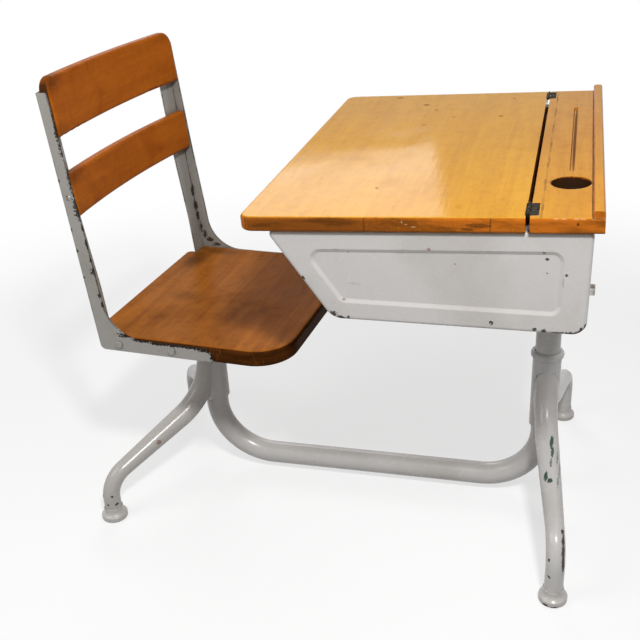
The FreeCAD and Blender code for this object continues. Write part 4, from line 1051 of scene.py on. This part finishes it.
def slat_smudges() -> Tuple[Mark, ...]:
    """The handled, darker corners of the back slats.

    Returns:
        The marks.
    """
    marks: List[Mark] = []
    reach, soft = (70 * MM, 55 * MM, 32 * MM), 0.9
    slats = (("back_slat_upper", 0.65, 0.45), ("back_slat_lower", 0.5, 0.4))
    for slat, near_dark, far_dark in slats:
        low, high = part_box(slat)
        middle = (low.x + high.x) / 2
        for across, height, dark in ((low.y, high.z, near_dark), (low.y, low.z, near_dark / 2),
                                     (high.y, low.z, far_dark), (high.y, high.z, far_dark / 2)):
            marks.append(Mark(Stain.BARE, (middle, across, height), reach, dark, soft))
    return tuple(marks)


SEAT_SMUDGES = mark_rows(
    Stain.BARE,
    (-300, 125, 343, 34, 62, 20, 0.6, 0.9), (-270, 165, 343, 60, 24, 20, 0.5, 0.9),
    (-262, -20, 343, 50, 26, 20, 0.28, 0.9),
)


@dataclass
class Seat:
    """The turning seat: board, side frames and two back slats."""

    frame_finish: Enamel = Enamel("seat_enamel", body=(0.32, 0.305, 0.28),
                                  cloud=(0.275, 0.257, 0.227), wear=0.33,
                                  worn_way=(0.20, 0, 0.16), marks=upright_chips())
    board_finish: Timber = Timber("seat_timber", light=(0.40, 0.132, 0.020),
                                  dark=(0.20, 0.057, 0.008), edge=(0.060, 0.018, 0.004),
                                  turn=SEAT_TURN, blotch=0.45, figure=0.35, boards=0.12,
                                  edge_dark=0.97, rubbed=0.12, gloss=0.28, shine=0.006,
                                  marks=SEAT_SMUDGES)
    slat_finish: Timber = Timber("slat_timber", light=(0.51, 0.138, 0.012),
                                 dark=(0.32, 0.073, 0.006), edge=(0.045, 0.016, 0.006),
                                 up=(0, 0, 0), turn=SEAT_TURN, boards=0.5, blotch=0.5,
                                 figure=0.3, edge_dark=0.0, end_dark=0.9, gloss=0.28, shine=0.012,
                                 varnish=(1.0, 0.82, 0.50), marks=slat_smudges())
    bolt_finish: Metal = BOLT_STEEL

    def dress(self) -> None:
        """Finishes the seat's pieces."""
        dress(self.frame_finish, ["side_frame_left", "side_frame_right", "frame_bolts",
                                  "seat_hub", "seat_spider"])
        dress(self.board_finish, ["seat_board"])
        dress(self.slat_finish, ["back_slat_lower", "back_slat_upper"])
        dress(self.bolt_finish, ["spider_screws", "swivel_stop_screw", "slat_screws",
                                 "slat_rivets"])


@dataclass
class Lamp:
    """A rectangular studio lamp.

    Attributes:
        name: its name.
        place: where it stands, in metres.
        aim: the point that it faces.
        size: its width and height, in metres.
        watts: its power.
    """

    name: str
    place: Triple
    aim: Triple
    size: Tuple[float, float]
    watts: float

    def build(self) -> None:
        """Hangs the lamp, out of the camera's sight."""
        data = bpy.data.lights.new(self.name, "AREA")
        data.shape = "RECTANGLE"
        data.size, data.size_y = self.size
        data.energy = self.watts
        made = bpy.data.objects.new(self.name, data)
        made.location = self.place
        way = Vector(self.aim) - Vector(self.place)
        made.rotation_euler = way.to_track_quat("-Z", "Y").to_euler()
        made.visible_camera = False
        bpy.context.scene.collection.objects.link(made)
        LOG.info("%s hung", self.name)


@dataclass
class Studio:
    """The pale floor, the lamps, the white surround and the camera.

    Attributes:
        floor_side: the floor's width, in metres.
        floor_colour: its colour.
        floor_lift: how much white it gives to what looks at it.
        white_from: how far out it starts to fade into white, in metres.
        white_past: how far out it is white, in metres.
        ambient: the surround's level of light.
        lamps: the lamps.
        focal_px: the camera's focal length, in pixels of the photograph.
        middle_px: where its axis meets the photograph, in pixels.
        yaw: its turn to the left, in radians.
        pitch: its tilt down, in radians.
        roll: its turn about its axis, in radians.
        eye: where it stands, in metres.
    """

    floor_side: float = 12.0
    floor_colour: Colour = (0.40, 0.40, 0.40)
    floor_lift: float = 0.60
    white_from: float = 0.8
    white_past: float = 1.7
    ambient: float = 0.26
    lamps: Tuple[Lamp, ...] = (
        Lamp("key_lamp", (0.55, -1.25, 1.75), (0.1, 0.0, 0.38), (0.18, 0.18), 25.4),
        Lamp("fill_panel", (-1.3, -1.0, 1.5), (-0.2, 0.0, 0.35), (1.0, 1.0), 9.0),
        Lamp("window_panel", (-0.75, 2.0, 1.65), (-0.1, 0.0, 0.6), (1.15, 0.85), 12.2),
    )
    focal_px: float = 934.803
    middle_px: Tuple[float, float] = (355.779, 337.425)
    yaw: float = math.radians(13.756)
    pitch: float = math.radians(27.845)
    roll: float = math.radians(-2.279)
    eye: Triple = (0.342706, -1.319576, 0.992577)

    def build(self) -> None:
        """Sets up the whole studio."""
        self.lay_floor()
        self.light_surround()
        for lamp in self.lamps:
            lamp.build()
        self.aim_camera()
        bpy.context.scene.view_settings.view_transform = "Standard"

    def seen(self, tree: bpy.types.NodeTree) -> Socket:
        """Adds a test for rays that show the background.

        Args:
            tree: the tree that the test is added to.

        Returns:
            A socket with 1 for camera, glossy and transmission rays.
        """
        path = tree.nodes.new("ShaderNodeLightPath")
        total = path.outputs["Is Camera Ray"]
        for name in ("Is Glossy Ray", "Is Transmission Ray"):
            larger = tree.nodes.new("ShaderNodeMath")
            larger.operation = "MAXIMUM"
            tree.links.new(total, larger.inputs[0])
            tree.links.new(path.outputs[name], larger.inputs[1])
            total = larger.outputs[0]
        return total

    def lay_floor(self) -> None:
        """Lays the pale floor, which keeps the desk's shadow."""
        shape = bmesh.new()
        bmesh.ops.create_grid(shape, x_segments=1, y_segments=1, size=self.floor_side / 2)
        mesh = bpy.data.meshes.new("floor")
        shape.to_mesh(mesh)
        shape.free()
        floor = bpy.data.objects.new("floor", mesh)
        bpy.context.scene.collection.objects.link(floor)
        g = Graph("floor_white")
        seen = self.seen(g.tree)
        diffuse = g.node("BsdfDiffuse", {"Color": self.floor_colour})
        lift = g.node("Emission", {"Strength": g.math("MULTIPLY", seen, self.floor_lift)})
        both = g.node("AddShader", {0: diffuse.outputs[0], 1: lift.outputs[0]})
        away = g.vector("LENGTH", g.place).outputs["Value"]
        faded = g.math("MULTIPLY", g.ramp(away, self.white_from, self.white_past), seen)
        white = g.node("Emission")
        whole = g.node("MixShader", {0: faded, 1: both.outputs[0], 2: white.outputs[0]})
        g.node("OutputMaterial", {"Surface": whole.outputs[0]})
        mesh.materials.append(g.material)
        LOG.info("floor laid")

    def light_surround(self) -> None:
        """Makes the surround white to look at, and a plain level of light elsewhere."""
        world = bpy.data.worlds.new("studio_surround")
        bpy.context.scene.world = world
        world.use_nodes = True
        tree = world.node_tree
        tree.nodes.clear()
        background = tree.nodes.new("ShaderNodeBackground")
        background.inputs["Color"].default_value = (1, 1, 1, 1)
        level = tree.nodes.new("ShaderNodeMapRange")
        level.inputs["To Min"].default_value = self.ambient
        level.inputs["To Max"].default_value = 1.0
        tree.links.new(self.seen(tree), level.inputs["Value"])
        tree.links.new(level.outputs[0], background.inputs["Strength"])
        out = tree.nodes.new("ShaderNodeOutputWorld")
        tree.links.new(background.outputs[0], out.inputs["Surface"])
        LOG.info("surround lit")

    def aim_camera(self) -> None:
        """Stands the camera at the viewing angle of the photograph."""
        ahead = Vector((-math.sin(self.yaw) * math.cos(self.pitch),
                        math.cos(self.yaw) * math.cos(self.pitch), -math.sin(self.pitch)))
        level = Vector((math.cos(self.yaw), math.sin(self.yaw), 0))
        upright = level.cross(ahead)
        right = math.cos(self.roll) * level + math.sin(self.roll) * upright
        up = -math.sin(self.roll) * level + math.cos(self.roll) * upright
        data = bpy.data.cameras.new("camera")
        data.sensor_width = SENSOR_MM
        data.lens = self.focal_px / IMAGE_SIDE * SENSOR_MM
        data.shift_x = (IMAGE_SIDE / 2 - self.middle_px[0]) / IMAGE_SIDE
        data.shift_y = (self.middle_px[1] - IMAGE_SIDE / 2) / IMAGE_SIDE
        made = bpy.data.objects.new("camera", data)
        turn = Matrix((right, up, -ahead)).transposed().to_4x4()
        made.matrix_world = Matrix.Translation(self.eye) @ turn
        bpy.context.scene.collection.objects.link(made)
        bpy.context.scene.camera = made
        LOG.info("camera set")


def main() -> None:
    """Builds the desk's pieces and the studio round it, in order."""
    logging.basicConfig(level=logging.INFO, format="%(message)s")
    pedestal = Pedestal()
    pedestal.dress()
    pedestal.build()
    for assembly in (BookBox(), Lid(), SeatStem(), Seat()):
        assembly.dress()
    Studio().build()


if __name__ == "__main__":
    main()
